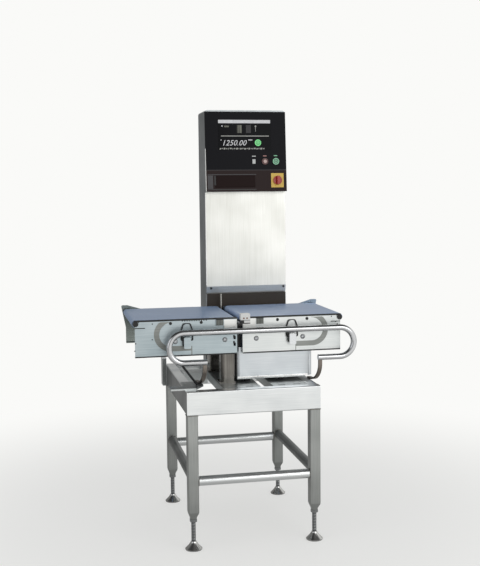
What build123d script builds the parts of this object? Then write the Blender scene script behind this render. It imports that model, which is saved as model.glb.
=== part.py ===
from build123d import *
import os
from math import atan2, degrees, hypot

# A checkweigher for a packing line: a welded stand on levelling feet, an infeed
# conveyor, a weigh conveyor on a load cell, a guard rail and a control cabinet.
# X runs along the belts, Y from front to back, Z up. The origin is on the floor
# under the middle of the machine. Sizes are millimetres.

# Places below are counted from the middle of the stand, which is this far right of
# the origin, because the infeed conveyor reaches out further than the weigh conveyor
stand_middle = 14.0

# The belt height drives every height above the legs' lower ends
belt_height = 800.0
frame_top = belt_height - 240.0

# Stand
leg_pitch_x = 437.0
leg_pitch_y = 544.0
front_leg_y = -295.0
leg_size = 38.0
tube_corner = 4.0
leg_wall = 2.0
leg_bottom = 136.0
leg_cap = 3.0
taper_height = 26.0
taper_width = 24.0
plug_height = 20.0
beam_height = 84.0
beam_wall = 2.5
rail_radius = 17.0
rail_wall = 2.0
cross_rail_z = 242.0
side_rail_z = 255.0
beam_end_wall = 3.0
corner_post_width = 16.5
corner_post_rise = 28.0
corner_post_drop = 80.0

# Levelling feet
foot_radius = 30.0
foot_edge = 4.0
foot_height = 29.0
foot_neck_radius = 11.0
screw_radius = 8.0
screw_top = 196.0
screw_clearance = 0.05
nut_across_flats = 24.0
nut_height = 11.0

# Members across the top of the stand
member_thickness = 3.0
member_flange = 30.0
middle_member_left = -104.0
middle_member_right = 31.0
right_member_left = 76.0
member_slot_length = 30.0
member_slot_width = 9.0
side_member_front = 45.0
side_member_depth = 70.0
side_member_height = 44.0

# Plate on the front left corner of the stand, for the guard rail
corner_plate_thickness = 6.0
corner_plate_overhang = 50.5
corner_plate_reach = 34.5
corner_plate_front_y = -280.0
corner_plate_tab = 48.0
corner_plate_slant = 55.0
corner_plate_depth = 125.0

# Guard rail
guard_y = -250.0
guard_radius = 10.65
guard_top_z = belt_height - 45.0
guard_bottom_z = belt_height - 150.0
guard_left_x = -235.0
guard_right_x = 328.0
guard_left_end = -155.0
guard_right_end = 247.0
strap_thickness = 6.0
strap_width = 14.0
strap_bend = 66.0
strap_reach = 90.0
strap_lean = -0.2
strap_inset = 8.0
stay_radius = 4.0
stay_top_x = -249.0
stay_foot = (-186.0, -222.0)

# Conveyors, mirrored about the gap between them
gap_x = -29.0
half_gap = 10.0
plate_end = 372.0
plate_front_y = -209.0
plate_rear_y = 159.0
plate_thickness = 3.0
plate_top = belt_height - 10.0
plate_bottom = plate_top - 122.0
plate_flange = 12.0
belt_thickness = 1.5
belt_width = 342.0
belt_edge_gap = 3.0
roller_radius = 11.2
belt_gap = 0.3
inner_roller_s = half_gap + 14.0
outer_roller_s = plate_end - 3.0
journal_radius = 4.0
journal_clearance = 0.05
bush_radius = 7.0
bush_cap_radius = 9.5
bush_cap = 4.0
journal_length = 5.0
nose_length = 36.0
nose_slit = 3.0
nose_slit_z = belt_height - 28.0
boss_margin = 0.7
pad_end = 59.0
pad_bottom = belt_height - 39.0
pad_top = belt_height - 3.0
pad_thickness = 3.0
clamp_end = 86.0
clamp_bottom = belt_height - 27.0
clamp_thickness = 5.0
clamp_grooves = 4
window_places = (138.0, 247.0)
window_radius = 4.5
window_z = belt_height - 15.0
groove_width = 14.0
groove_depth = 1.2
groove_centre_s = 262.0
groove_centre_z = belt_height - 54.0
groove_radius = 50.0
groove_end_s = 205.0
hook_slot_width = 8.0
hook_slot_height = 12.0
hook_slot_heights = (plate_bottom + 35.0, plate_bottom + 59.0)
ear_rise = 13.0
ear_reach = 17.0
ear_length = 50.0
ear_crest = 16.0
ear_round = 5.0
bed_thickness = 2.5
bed_flange = 16.0
bed_end_gap = 2.5
pulley_radius = 9.5
pulley_width = 10.0
pulley_gap = 3.0
drive_belt_width = 8.0
drive_belt_thickness = 1.2
motor_s = 93.0
motor_z = belt_height - 67.0
motor_radius = 24.0
motor_front_y = -10.0
motor_shaft_radius = 5.0
motor_shaft_depth = 14.0
gearbox_size = 46.0
gearbox_length = 34.0

# Carrier under each conveyor
carrier_top = plate_bottom + 38.0
carrier_thickness = 10.0
carrier_inner_s = 43.0
carrier_outer_s = 203.0
carrier_bar = 20.0
carrier_plate_depth = 160.0

# Release latch on each front plate
latch_s = 190.0
latch_pivot_z = belt_height - 65.0
latch_pivot_out = 8.0
latch_lug_width = 12.0
latch_lug_radius = 7.0
latch_pin_radius = 2.5
lever_width = 25.0
lever_length = 39.0
lever_thickness = 3.0
lever_ear = 2.5
side_gap = 0.3
bail_offset = 10.0
bail_wire_radius = 1.5
bail_bottom_width = 40.0
bail_top_width = 24.0
bail_rise = 49.0
bail_lean = 4.0
keeper_height = 6.0

# Weighing unit
housing_left = -39.0
housing_right = 242.0
housing_mid_y = -77.5
housing_depth = 225.0
housing_front = housing_mid_y - housing_depth / 2
housing_bottom = frame_top + 16.0
housing_top = carrier_top - 18.0
housing_corner = 14.0
housing_wall = 2.0
base_plate = 4.0
base_strip_left = housing_left + 4.0
base_strip_right = housing_right - 31.0
rubber_radius = 11.0
rubber_inset_y = 31.0
rubber_xs = (6.0, 133.0)
cell_length = 150.0
cell_size = 40.0
cell_left = 74.0
cell_bottom = housing_bottom + 14.0
cell_hole_radius = 15.0
cell_hole_pitch = 34.0
post_radius = 16.0
post_hole_radius = 24.0

# Infeed support: a column beside the housing and one behind it
column_left = -94.0
column_width = 40.0
column_front = 45.0
column_depth = 70.0
column_foot = 6.0
column_foot_rim = 8.0
front_column_size = 51.0
front_column_gap = 4.0
front_column_corner = 10.0
arm_height = 20.0
arm_depth = 40.0

# Product sensor
sensor_strip_width = 18.0
sensor_strip = 4.0
sensor_foot_depth = 30.0
sensor_foot = 3.0
sensor_arm_z = belt_height - 30.0
sensor_left = -30.0
sensor_width = 34.0
sensor_depth = 20.0
sensor_bottom = belt_height - 19.0
sensor_top = belt_height + 14.0
post_y = 150.0
reflector_radius = 3.0
reflector_top = belt_height + 46.0
reflector_base_z = belt_height - 24.0
reflector_clip_drop = 36.0
reflector_wedge = 30.0
reflector_foot = 6.0

# Control cabinet
cabinet_left = -82.5
cabinet_width = 320.0
cabinet_front = 169.0
cabinet_depth = 155.0
cabinet_height = 997.0
cabinet_top = frame_top + cabinet_height
plinth_height = 160.0
cabinet_floor = frame_top + plinth_height
cabinet_corner = 12.0
cabinet_wall = 2.0
cabinet_rim = 14.0
cover_thickness = 2.5
recess_height = 122.0
cover_bottom = cabinet_floor + recess_height
cover_lip = 32.0
cover_bend = cover_bottom + cover_lip
cover_setback = 9.0
cover_side_gap = 0.5
recess_depth = 31.0
plinth_depth = 68.0
cable_hole_radius = 30.0

# Control panel
panel_height = 308.0
panel_rim = 6.0
panel_top = cabinet_top - panel_rim
panel_bottom = panel_top - panel_height
panel_proud_bottom = 25.0
panel_proud_top = 2.0
bezel_thickness = 3.0
panel_wall = 1.5
display_inset_left = 51.5
display_inset_right = 59.5
display_left = cabinet_left + display_inset_left
display_right = cabinet_left + cabinet_width - display_inset_right
display_height = 118.0
display_rim = 30.0
display_top = panel_top - display_rim
display_bottom = display_top - display_height
glass_thickness = 2.0
glass_ledge = 4.0
split_rise = 83.0
split_z = panel_bottom + split_rise
split_width = 1.2
key_radius = 12.5
key_proud = 4.0
key_flange = 1.5
key_flange_height = 1.5
key_travel = 2.5
key_clearance = 0.1
key_rise = 116.0
key_z = panel_bottom + key_rise
key_inset = 42.5
key_pitch = 43.0
start_key_x = cabinet_left + cabinet_width - key_inset
stop_key_x = start_key_x - key_pitch
flap_inset_left = 34.5
flap_inset_right = 125.5
flap_rise = 16.0
flap_height = 47.0
flap_left = cabinet_left + flap_inset_left
flap_right = cabinet_left + cabinet_width - flap_inset_right
flap_bottom = panel_bottom + flap_rise
flap_top = flap_bottom + flap_height
flap_thickness = 4.0
flap_pin_radius = 1.2
flap_pin_length = 3.0
pocket_depth = 9.0
pocket_wall = 3.0
switch_inset = 37.5
switch_rise = 42.5
switch_x = cabinet_left + cabinet_width - switch_inset
switch_z = panel_bottom + switch_rise
switch_plate_width = 50.0
switch_plate_height = 55.0
switch_plate_thickness = 2.0
knob_radius = 17.0
knob_base = 6.0
knob_grip = 14.0
knob_grip_width = 9.0
knob_shaft_radius = 4.0
knob_shaft_length = 12.0

# Electronics on their mounting plate
tray_margin = 40.0
tray_thickness = 2.0
tray_rise = 80.0
tray_bottom = cabinet_floor + tray_rise
tray_height = 400.0
spacer_length = 5.0
spacer_radius = 5.0
unit_gap = 10.0
supply_depth = 60.0
supply_height = 120.0
drive_width = 90.0
drive_depth = 80.0
drive_height = 140.0
board_depth = 25.0
terminal_depth = 30.0

# Places worked out from the sizes above
leg_x = leg_pitch_x / 2
rear_leg_y = front_leg_y + leg_pitch_y
leg_inner_x = leg_x - leg_size / 2
front_beam_inner_y = front_leg_y + leg_size / 2
rear_beam_inner_y = rear_leg_y - leg_size / 2
roller_z = belt_height - belt_thickness - belt_gap - roller_radius
belt_inner_radius = roller_radius + belt_gap
belt_outer_radius = belt_inner_radius + belt_thickness
inner_front_y = plate_front_y + plate_thickness
inner_rear_y = plate_rear_y - plate_thickness
belt_front_y = inner_front_y + belt_edge_gap
belt_rear_y = belt_front_y + belt_width
pulley_front_y = belt_rear_y + pulley_gap
pulley_rear_y = pulley_front_y + pulley_width
belt_mid_y = (plate_front_y + plate_rear_y) / 2
cabinet_right = cabinet_left + cabinet_width
cabinet_rear = cabinet_front + cabinet_depth
recess_y = cabinet_front + recess_depth
rim_y = cabinet_front + cover_thickness
ear_height = belt_height + ear_rise
ear_outer = plate_end + ear_reach
ear_inner = plate_end - ear_length
bail_top_z = latch_pivot_z + bail_rise
lever_bottom = latch_pivot_z - lever_length
tray_top = tray_bottom + tray_height


def block(x0, x1, y0, y1, z0, z1):
    """A block between two corners."""
    place = Pos((x0 + x1) / 2, (y0 + y1) / 2, (z0 + z1) / 2)
    return place * Box(x1 - x0, y1 - y0, z1 - z0)


def rod_y(x, z, y0, y1, radius):
    """A round rod along Y."""
    return Pos(x, (y0 + y1) / 2, z) * Rot(90, 0, 0) * Cylinder(radius, y1 - y0)


def rod_x(y, z, x0, x1, radius):
    """A round rod along X."""
    return Pos((x0 + x1) / 2, y, z) * Rot(0, 90, 0) * Cylinder(radius, x1 - x0)


def rod_z(x, y, z0, z1, radius):
    """A round rod standing upright."""
    return Pos(x, y, (z0 + z1) / 2) * Cylinder(radius, z1 - z0)


def hollow_section(width, depth, wall, length):
    """A rounded rectangular tube that rises from the XY plane."""
    outer = RectangleRounded(width, depth, tube_corner)
    inner = Rectangle(width - 2 * wall, depth - 2 * wall)
    return extrude(outer - inner, amount=length)


def side_profile(points, x0, x1):
    """A slab from x0 to x1 whose outline is given as (y, z) points."""
    face = make_face(Polyline(*points, close=True))
    return Pos(x0, 0, 0) * extrude(Plane.YZ * face, amount=x1 - x0)


def leg(x, y):
    """A leg under a beam: square tube, cap, and a tapered end threaded for the foot."""
    full = RectangleRounded(leg_size, leg_size, tube_corner)
    inside = leg_size - 2 * leg_wall
    top = frame_top - beam_height
    tube = Pos(0, 0, leg_bottom) * hollow_section(leg_size, leg_size, leg_wall, top - leg_cap - leg_bottom)
    cap = Pos(0, 0, top - leg_cap) * extrude(full, amount=leg_cap)
    plug = Pos(0, 0, leg_bottom) * extrude(Rectangle(inside, inside), amount=plug_height)
    wide = Pos(0, 0, leg_bottom) * Rectangle(leg_size, leg_size)
    narrow = Pos(0, 0, leg_bottom - taper_height) * Rectangle(taper_width, taper_width)
    taper = loft([narrow, wide])
    bore = rod_z(0, 0, 0, leg_bottom + plug_height, screw_radius + screw_clearance)
    return Pos(x, y, 0) * (tube + cap + plug + taper - bore)


def corner_post():
    """The short post welded to the left end of the rear beam, which stands above the frame."""
    outer = -leg_x - leg_size / 2
    return block(
        outer - corner_post_width, outer, rear_leg_y - leg_size / 2, rear_leg_y + leg_size / 2,
        frame_top - corner_post_drop, frame_top + corner_post_rise,
    )


def levelling_foot(x, y):
    """A foot: coned steel pad on its screw, with the nut that locks it to the leg."""
    outline = Polyline(
        (0, 0), (foot_radius, 0), (foot_radius, foot_edge), (foot_neck_radius, foot_height),
        (0, foot_height), close=True,
    )
    pad = revolve(Plane.XZ * make_face(outline), Axis.Z)
    screw = rod_z(0, 0, foot_height - foot_edge, screw_top, screw_radius)
    hexagon = RegularPolygon(nut_across_flats / 2, 6, major_radius=False)
    nut_z = leg_bottom - taper_height - nut_height
    nut = Pos(0, 0, nut_z) * extrude(hexagon, amount=nut_height)
    return Pos(x, y, 0) * (pad + screw + nut)


def top_beams():
    """Front and rear beams that lie on the legs, closed at their ends, and two between them."""
    across = 2 * leg_x + leg_size
    along = rear_beam_inner_y - front_beam_inner_y
    mid_y = (front_beam_inner_y + rear_beam_inner_y) / 2
    mid_z = frame_top - beam_height / 2
    outer = extrude(RectangleRounded(beam_height, leg_size, tube_corner), amount=across)
    bore = Rectangle(beam_height - 2 * beam_wall, leg_size - 2 * beam_wall)
    inner = Pos(0, 0, beam_end_wall) * extrude(bore, amount=across - 2 * beam_end_wall)
    cross = Rot(0, 90, 0) * (outer - inner)
    side = Rot(-90, 0, 0) * hollow_section(leg_size, beam_height, beam_wall, along)
    beams = [Pos(-across / 2, y, mid_z) * cross for y in (front_leg_y, rear_leg_y)]
    beams[1] += corner_post()
    beams += [Pos(x, mid_y - along / 2, mid_z) * side for x in (-leg_x, leg_x)]
    return Compound(beams)


def lower_rails():
    """Round tubes that tie the legs together below."""
    rails = []
    for y in (front_leg_y, rear_leg_y):
        tube = rod_x(y, cross_rail_z, -leg_inner_x, leg_inner_x, rail_radius)
        rails.append(tube - rod_x(y, cross_rail_z, -leg_x, leg_x, rail_radius - rail_wall))
    for x in (-leg_x, leg_x):
        tube = rod_y(x, side_rail_z, front_beam_inner_y, rear_beam_inner_y, rail_radius)
        bore = rod_y(x, side_rail_z, front_leg_y, rear_leg_y, rail_radius - rail_wall)
        rails.append(tube - bore)
    return Compound(rails)


def top_member(x0, x1):
    """A channel laid from the front beam to the rear beam, slotted near its front."""
    y0, y1 = front_beam_inner_y, rear_beam_inner_y
    bottom = frame_top - member_flange
    channel = block(x0, x1, y0, y1, bottom, frame_top)
    inside = block(
        x0 + member_thickness, x1 - member_thickness, y0 - 1, y1 + 1,
        bottom - 1, frame_top - member_thickness,
    )
    slot = extrude(SlotOverall(member_slot_length, member_slot_width), amount=member_thickness + 2)
    slot_z = frame_top - member_thickness - 1
    places = [x0 + (x1 - x0) * share for share in (0.27, 0.73)]
    slots = [Pos(x, y0 + member_slot_length / 2, slot_z) * slot for x in places]
    return channel - inside - slots


def side_member():
    """The short channel from the left beam to the middle one, below the rear column."""
    y0, y1 = side_member_front, side_member_front + side_member_depth
    w = member_thickness
    bottom = frame_top - side_member_height
    channel = block(-leg_inner_x, middle_member_left, y0, y1, bottom, frame_top)
    return channel - block(-leg_x, leg_x, y0 + w, y1 - w, bottom - 1, frame_top - w)


def corner_plate():
    """Plate on the front left corner, with a tab that reaches out to the left."""
    outer, inner = -leg_x - leg_size / 2, -leg_inner_x
    front = corner_plate_front_y
    tab = front + corner_plate_tab
    back = front + corner_plate_depth
    outline = Polyline(
        (outer - corner_plate_overhang, front), (inner, front),
        (inner + corner_plate_reach, front + corner_plate_slant), (inner + corner_plate_reach, back),
        (outer, back), (outer, tab), (outer - corner_plate_overhang, tab), close=True,
    )
    return extrude(Plane.XY.offset(frame_top) * make_face(outline), amount=corner_plate_thickness)


def crossmembers():
    """Both long channels, the short one and the plate that carries the guard rail."""
    middle = top_member(middle_member_left, middle_member_right)
    right = top_member(right_member_left, leg_inner_x)
    return Compound([middle, right, side_member(), corner_plate()])


def guard_tube():
    """The polished rail: a long loop of closed tube, open in the middle of its bottom run."""
    bend = (guard_top_z - guard_bottom_z) / 2
    mid_z = (guard_top_z + guard_bottom_z) / 2
    section = Circle(guard_radius)
    rail = None
    runs = (
        (guard_left_x, guard_right_x, guard_top_z),
        (guard_left_x, guard_left_end, guard_bottom_z),
        (guard_right_end, guard_right_x, guard_bottom_z),
    )
    for x0, x1, z in runs:
        run = extrude(Plane(origin=(x0, guard_y, z), z_dir=(1, 0, 0)) * section, amount=x1 - x0)
        rail = run if rail is None else rail + run
    for x, z_dir in ((guard_left_x, (-1, 0, 0)), (guard_right_x, (1, 0, 0))):
        profile = Plane(origin=(x, guard_y, guard_bottom_z), z_dir=z_dir) * section
        turn = Axis((x, guard_y, mid_z), (0, z_dir[0], 0))
        rail += revolve(profile, turn, revolution_arc=-180)
    return rail


def guard_strap(top_x, seat_z):
    """A bent flat bar from under the rail down and back to its seat on the stand."""
    away = Vector(strap_lean, 1, 0).normalized()
    plane = Plane(origin=(top_x, guard_y, 0), x_dir=away, z_dir=away.cross(Vector(0, 0, 1)))
    low = seat_z + strap_thickness / 2
    turn = low + strap_bend
    line = [
        Line((0, guard_bottom_z), (0, turn)),
        CenterArc((strap_bend, turn), strap_bend, 180, 90),
        Line((strap_bend, low), (strap_reach, low)),
    ]
    bar = extrude(plane * trace(Wire(line), strap_thickness), amount=strap_width / 2, both=True)
    return bar - rod_x(guard_y, guard_bottom_z, top_x - strap_bend, top_x + strap_bend, guard_radius)


def guard_stay(rail):
    """The thin black stay from the left bend of the rail down to the corner plate."""
    seat = frame_top + corner_plate_thickness
    top = Vector(stay_top_x, guard_y, guard_bottom_z)
    foot = Vector(stay_foot[0], stay_foot[1], seat)
    along = (foot - top).normalized()
    length = (foot - top).length + 2 * stay_radius
    rod = extrude(Plane(origin=top, z_dir=along) * Circle(stay_radius), amount=length) - rail
    return rod - block(foot.X - length, foot.X + length, foot.Y - length, foot.Y + length,
                       seat - length, seat)


def drive_loop(x0, z0, x1, z1, radius, thickness, y0, y1):
    """A flat belt round two equal wheels."""
    length = hypot(x1 - x0, z1 - z0)
    outer = SlotCenterToCenter(length, 2 * (radius + thickness))
    inner = SlotCenterToCenter(length, 2 * radius)
    turn = degrees(atan2(z1 - z0, x1 - x0))
    plane = Plane(origin=((x0 + x1) / 2, y0, (z0 + z1) / 2), x_dir=(1, 0, 0), z_dir=(0, -1, 0))
    return extrude(plane * (Rot(0, 0, turn) * (outer - inner)), amount=-(y1 - y0))


def plate_groove():
    """The pressed line on a front plate: a bow round the outer end, then a level run."""
    plane = Plane(origin=(0, plate_front_y, 0), x_dir=(1, 0, 0), z_dir=(0, -1, 0))
    low = groove_centre_z - groove_radius
    line = [
        CenterArc((groove_centre_s, groove_centre_z), groove_radius, 62, -152),
        Line((groove_centre_s, low), (groove_end_s, low)),
        Line((groove_end_s, low), (groove_end_s, low - 2 * groove_width)),
    ]
    bow = trace(Wire(line[:2]), groove_width)
    tail = trace(line[2], groove_width / 5)
    return extrude(plane * (bow + tail), amount=-groove_depth)


def latch_lug(x):
    """The lug that the latch lever turns on, and the keeper above it."""
    pivot_y = plate_front_y - latch_pivot_out
    half = latch_lug_width / 2
    radius = latch_lug_radius
    lug = rod_x(pivot_y, latch_pivot_z, x - half, x + half, radius)
    lug += block(x - half, x + half, pivot_y, plate_front_y, latch_pivot_z - radius, latch_pivot_z + radius)
    lug -= rod_x(pivot_y, latch_pivot_z, x - half, x + half, latch_pin_radius + journal_clearance)
    top = bail_top_z - bail_wire_radius - side_gap
    keeper = block(x - half, x + half, pivot_y + 2, plate_front_y, top - keeper_height, top)
    return lug + keeper


def front_plate(latch_x):
    """Front side plate: nose slit, windows, pressed groove, bearing pad and clamp."""
    y0, y1 = plate_front_y, inner_front_y
    plate = block(half_gap, plate_end, y0, y1, plate_bottom, plate_top)
    plate += block(half_gap, plate_end, y1, y1 + plate_flange, plate_bottom, plate_bottom + plate_thickness)
    plate += rod_y(outer_roller_s, roller_z, y0, y1, bush_cap_radius + boss_margin)
    slit_y = (y0 - 1, y1 + 1)
    plate -= block(plate_end - nose_length, plate_end + nose_length, *slit_y,
                   nose_slit_z - nose_slit / 2, nose_slit_z + nose_slit / 2)
    plate -= rod_y(outer_roller_s, roller_z, *slit_y, bush_radius)
    for s in window_places:
        plate -= rod_y(s, window_z, *slit_y, window_radius) & block(
            s - window_radius, s + window_radius, *slit_y, window_z - 1, window_z + window_radius
        )
    plate -= plate_groove()
    plate += block(half_gap, pad_end, y0 - pad_thickness, y0, pad_bottom, pad_top)
    plate += block(half_gap, pad_end, y0, y1, plate_top, pad_top)
    plate -= rod_y(inner_roller_s, roller_z, y1 - journal_length, y1, bush_radius)
    clamp = block(pad_end, clamp_end, y0 - clamp_thickness, y0, clamp_bottom, pad_top)
    pitch = (clamp_end - pad_end) / (clamp_grooves + 1)
    for i in range(clamp_grooves):
        x = pad_end + pitch * (i + 1)
        clamp -= block(x - pitch / 5, x + pitch / 5, y0 - clamp_thickness, y0 - clamp_thickness / 2,
                       clamp_bottom, pad_top)
    plate += clamp
    return plate + latch_lug(latch_x)


def rear_plate():
    """Rear side plate, whose outer end rises above the belt as a rounded ear."""
    lean_bottom = plate_bottom + 0.41 * (ear_height - plate_bottom)
    outline = Polyline(
        (half_gap, plate_bottom), (plate_end, plate_bottom), (plate_end, lean_bottom),
        (ear_outer, ear_height), (ear_outer - 1.5 * ear_crest, ear_height),
        (ear_inner, belt_height), (ear_inner - 0.8 * ear_length, plate_top), (half_gap, plate_top),
        close=True,
    )
    face = make_face(outline)
    ear_points = face.vertices().filter_by(lambda v: v.Y > belt_height + ear_rise / 2)
    face = fillet(ear_points, ear_round)
    low = plate_bottom + plate_thickness
    plane = Plane(origin=(0, inner_rear_y, 0), x_dir=(1, 0, 0), z_dir=(0, -1, 0))
    plate = extrude(plane * face, amount=-plate_thickness)
    plate += block(half_gap, plate_end, inner_rear_y - plate_flange, inner_rear_y, plate_bottom, low)
    plate += block(half_gap, 2 * inner_roller_s, inner_rear_y, plate_rear_y, plate_top, pad_top)
    for s in (inner_roller_s, outer_roller_s):
        plate -= rod_y(s, roller_z, inner_rear_y, plate_rear_y, bush_radius)
    return plate


def slider_bed():
    """The sheet under the carrying run of the belt, hung from both side plates."""
    s0 = inner_roller_s + roller_radius + bed_end_gap
    s1 = outer_roller_s - roller_radius - bed_end_gap
    top = belt_height - belt_thickness - belt_gap
    bed = block(s0, s1, inner_front_y, inner_rear_y, top - bed_thickness, top)
    for y in (inner_front_y, inner_rear_y - bed_thickness):
        bed += block(s0, s1, y, y + bed_thickness, top - bed_flange, top)
    belt_zone = motor_s + pulley_radius + 3 * bed_end_gap
    return bed - block(0, belt_zone, belt_rear_y, inner_rear_y + 1, top - bed_flange - 1, top + 1)


def roller(s, driven):
    """A steel roller with its journals and, on the driven one, its belt pulley."""
    body = rod_y(s, roller_z, belt_front_y + 1, belt_rear_y - 1, roller_radius)
    body += rod_y(s, roller_z, inner_front_y - journal_length + 1, belt_front_y + 1, journal_radius)
    body += rod_y(s, roller_z, belt_rear_y - 1, plate_rear_y, journal_radius)
    if driven:
        body += rod_y(s, roller_z, pulley_front_y, pulley_rear_y, pulley_radius)
    return body


def bearings():
    """Four bushes: capped ones where the journals pass a plate, a plain one in the pad."""
    hole = journal_radius + journal_clearance
    solids = []
    for s in (inner_roller_s, outer_roller_s):
        rear = rod_y(s, roller_z, inner_rear_y, plate_rear_y, bush_radius)
        rear += rod_y(s, roller_z, plate_rear_y, plate_rear_y + bush_cap, bush_cap_radius)
        solids.append(rear - rod_y(s, roller_z, inner_rear_y, plate_rear_y + 1, hole))
    cap = rod_y(outer_roller_s, roller_z, plate_front_y - bush_cap, plate_front_y, bush_cap_radius)
    cap += rod_y(outer_roller_s, roller_z, plate_front_y, inner_front_y, bush_radius)
    solids.append(cap - rod_y(outer_roller_s, roller_z, inner_front_y - journal_length, inner_front_y, hole))
    blind = rod_y(inner_roller_s, roller_z, inner_front_y - journal_length, inner_front_y, bush_radius)
    solids.append(blind - rod_y(inner_roller_s, roller_z, plate_front_y - bush_cap, inner_front_y, hole))
    return Compound(solids)


def motor():
    """Geared motor on its foot, with the bore that its output shaft turns in."""
    y1 = belt_rear_y - pulley_gap
    half = gearbox_size / 2
    body = rod_y(motor_s, motor_z, motor_front_y, y1 - gearbox_length, motor_radius)
    body += block(motor_s - half, motor_s + half, y1 - gearbox_length, y1, motor_z - half, motor_z + half)
    body += block(motor_s - half, motor_s + half, motor_front_y, y1, carrier_top, motor_z - half / 2)
    bore = motor_shaft_radius + journal_clearance
    return body - rod_y(motor_s, motor_z, y1 - motor_shaft_depth, y1, bore)


def motor_pulley():
    """Pulley and output shaft of the motor."""
    y1 = belt_rear_y - pulley_gap
    wheel = rod_y(motor_s, motor_z, pulley_front_y, pulley_rear_y, pulley_radius)
    return wheel + rod_y(motor_s, motor_z, y1 - motor_shaft_depth + 1, pulley_front_y, motor_shaft_radius)


def timing_belt():
    """Belt from the motor pulley to the driven roller."""
    inset = (pulley_width - drive_belt_width) / 2
    return drive_loop(
        inner_roller_s, roller_z, motor_s, motor_z, pulley_radius + belt_gap, drive_belt_thickness,
        pulley_front_y + inset, pulley_rear_y - inset,
    )


def carrier():
    """Welded frame that both side plates and the motor are fixed to."""
    bottom = carrier_top - carrier_thickness
    half = carrier_plate_depth / 2
    plate = block(carrier_inner_s, carrier_outer_s, belt_mid_y - half, belt_mid_y + half, bottom, carrier_top)
    for s in (carrier_inner_s, carrier_outer_s - carrier_bar):
        plate += block(s, s + carrier_bar, inner_front_y, inner_rear_y, bottom, carrier_top)
    return plate


def latch_lever(x):
    """Latch lever: a pressed handle whose two ears straddle the lug, with its pin."""
    pivot_y = plate_front_y - latch_pivot_out
    front = pivot_y - latch_lug_radius - side_gap - lever_thickness
    half = lever_width / 2
    ear_in = latch_lug_width / 2 + side_gap
    low = latch_pivot_z - bail_offset - 2 * bail_wire_radius
    handle = block(x - half, x + half, front, front + lever_thickness, lever_bottom, latch_pivot_z)
    handle = fillet(handle.edges().filter_by(Axis.Y).sort_by(Axis.Z)[:2], 5)
    for side in (-1, 1):
        inner, outer = x + side * ear_in, x + side * (ear_in + lever_ear)
        handle += block(min(inner, outer), max(inner, outer), front, pivot_y, low, latch_pivot_z)
        handle += rod_x(pivot_y, latch_pivot_z, min(inner, outer), max(inner, outer), 2 * latch_pin_radius)
        handle += rod_x(pivot_y, latch_pivot_z - bail_offset, min(inner, outer), max(inner, outer),
                        2.4 * bail_wire_radius)
    handle += rod_x(pivot_y, latch_pivot_z, x - ear_in - lever_ear, x + ear_in + lever_ear, latch_pin_radius)
    wire_hole = bail_wire_radius + journal_clearance
    return handle - rod_x(pivot_y, latch_pivot_z - bail_offset, x - half, x + half, wire_hole)


def latch_bail(x):
    """The loop that the lever pulls down over the keeper, with its round pivot."""
    pivot_y = plate_front_y - latch_pivot_out
    low = latch_pivot_z - bail_offset
    rise = hypot(bail_top_z - low, bail_lean)
    up = Vector(0, bail_lean, bail_top_z - low).normalized()
    plane = Plane(origin=(x, pivot_y, low), x_dir=(1, 0, 0), z_dir=Vector(1, 0, 0).cross(up))
    b, t = bail_bottom_width / 2, bail_top_width / 2
    line = Polyline((-b, 0), (-b, rise * 0.6), (-t, rise), (t, rise), (b, rise * 0.6), (b, 0))
    loop = extrude(plane * trace(line, 2 * bail_wire_radius), amount=bail_wire_radius, both=True)
    end = b + bail_wire_radius
    return loop + rod_x(pivot_y, low, x - end, x + end, bail_wire_radius)


def housing_shell():
    """Sheet cover of the weighing unit, open below, with a hole for the post."""
    y0, y1 = housing_front, housing_front + housing_depth
    shell = block(housing_left, housing_right, y0, y1, housing_bottom, housing_top)
    shell = fillet(shell.edges().filter_by(Axis.Z), housing_corner)
    w = housing_wall
    inside = block(housing_left + w, housing_right - w, y0 + w, y1 - w, housing_bottom, housing_top - w)
    inside = fillet(inside.edges().filter_by(Axis.Z), housing_corner - w)
    post_x = cell_left + cell_size / 2
    hole = rod_z(post_x, belt_mid_y, housing_bottom, housing_top, post_hole_radius)
    return shell - inside - hole


def housing_base():
    """Base plate of the weighing unit with the riser under the fixed end of the cell."""
    gap = housing_wall + side_gap
    y0, y1 = housing_front, housing_front + housing_depth
    top = housing_bottom + base_plate
    plate = block(housing_left + gap, housing_right - gap, y0 + gap, y1 - gap, housing_bottom, top)
    plate = fillet(plate.edges().filter_by(Axis.Z), housing_corner - gap)
    plate += block(base_strip_left, base_strip_right, y0 + gap, y1 - gap, housing_bottom - base_plate,
                   housing_bottom)
    riser_x = cell_left + cell_length - cell_size
    half = cell_size / 2
    return plate + block(riser_x, riser_x + cell_size, belt_mid_y - half, belt_mid_y + half, top, cell_bottom)


def rubber_feet():
    """Rubber feet between the base plate and the stand."""
    top = housing_bottom - base_plate
    ys = (housing_front + rubber_inset_y, housing_front + housing_depth - rubber_inset_y)
    return Compound([rod_z(x, y, frame_top, top, rubber_radius) for x in rubber_xs for y in ys])


def load_cell():
    """Bending beam with the double hole that gives it its thin flexing webs."""
    half = cell_size / 2
    beam = block(cell_left, cell_left + cell_length, belt_mid_y - half, belt_mid_y + half,
                 cell_bottom, cell_bottom + cell_size)
    mid_x = cell_left + cell_length / 2
    mid_z = cell_bottom + half
    for side in (-1, 1):
        beam -= rod_y(mid_x + side * cell_hole_pitch / 2, mid_z, belt_mid_y - half, belt_mid_y + half,
                      cell_hole_radius)
    return beam - block(mid_x - cell_hole_pitch / 2, mid_x + cell_hole_pitch / 2, belt_mid_y - half,
                        belt_mid_y + half, mid_z - cell_hole_radius / 3, mid_z + cell_hole_radius / 3)


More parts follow.
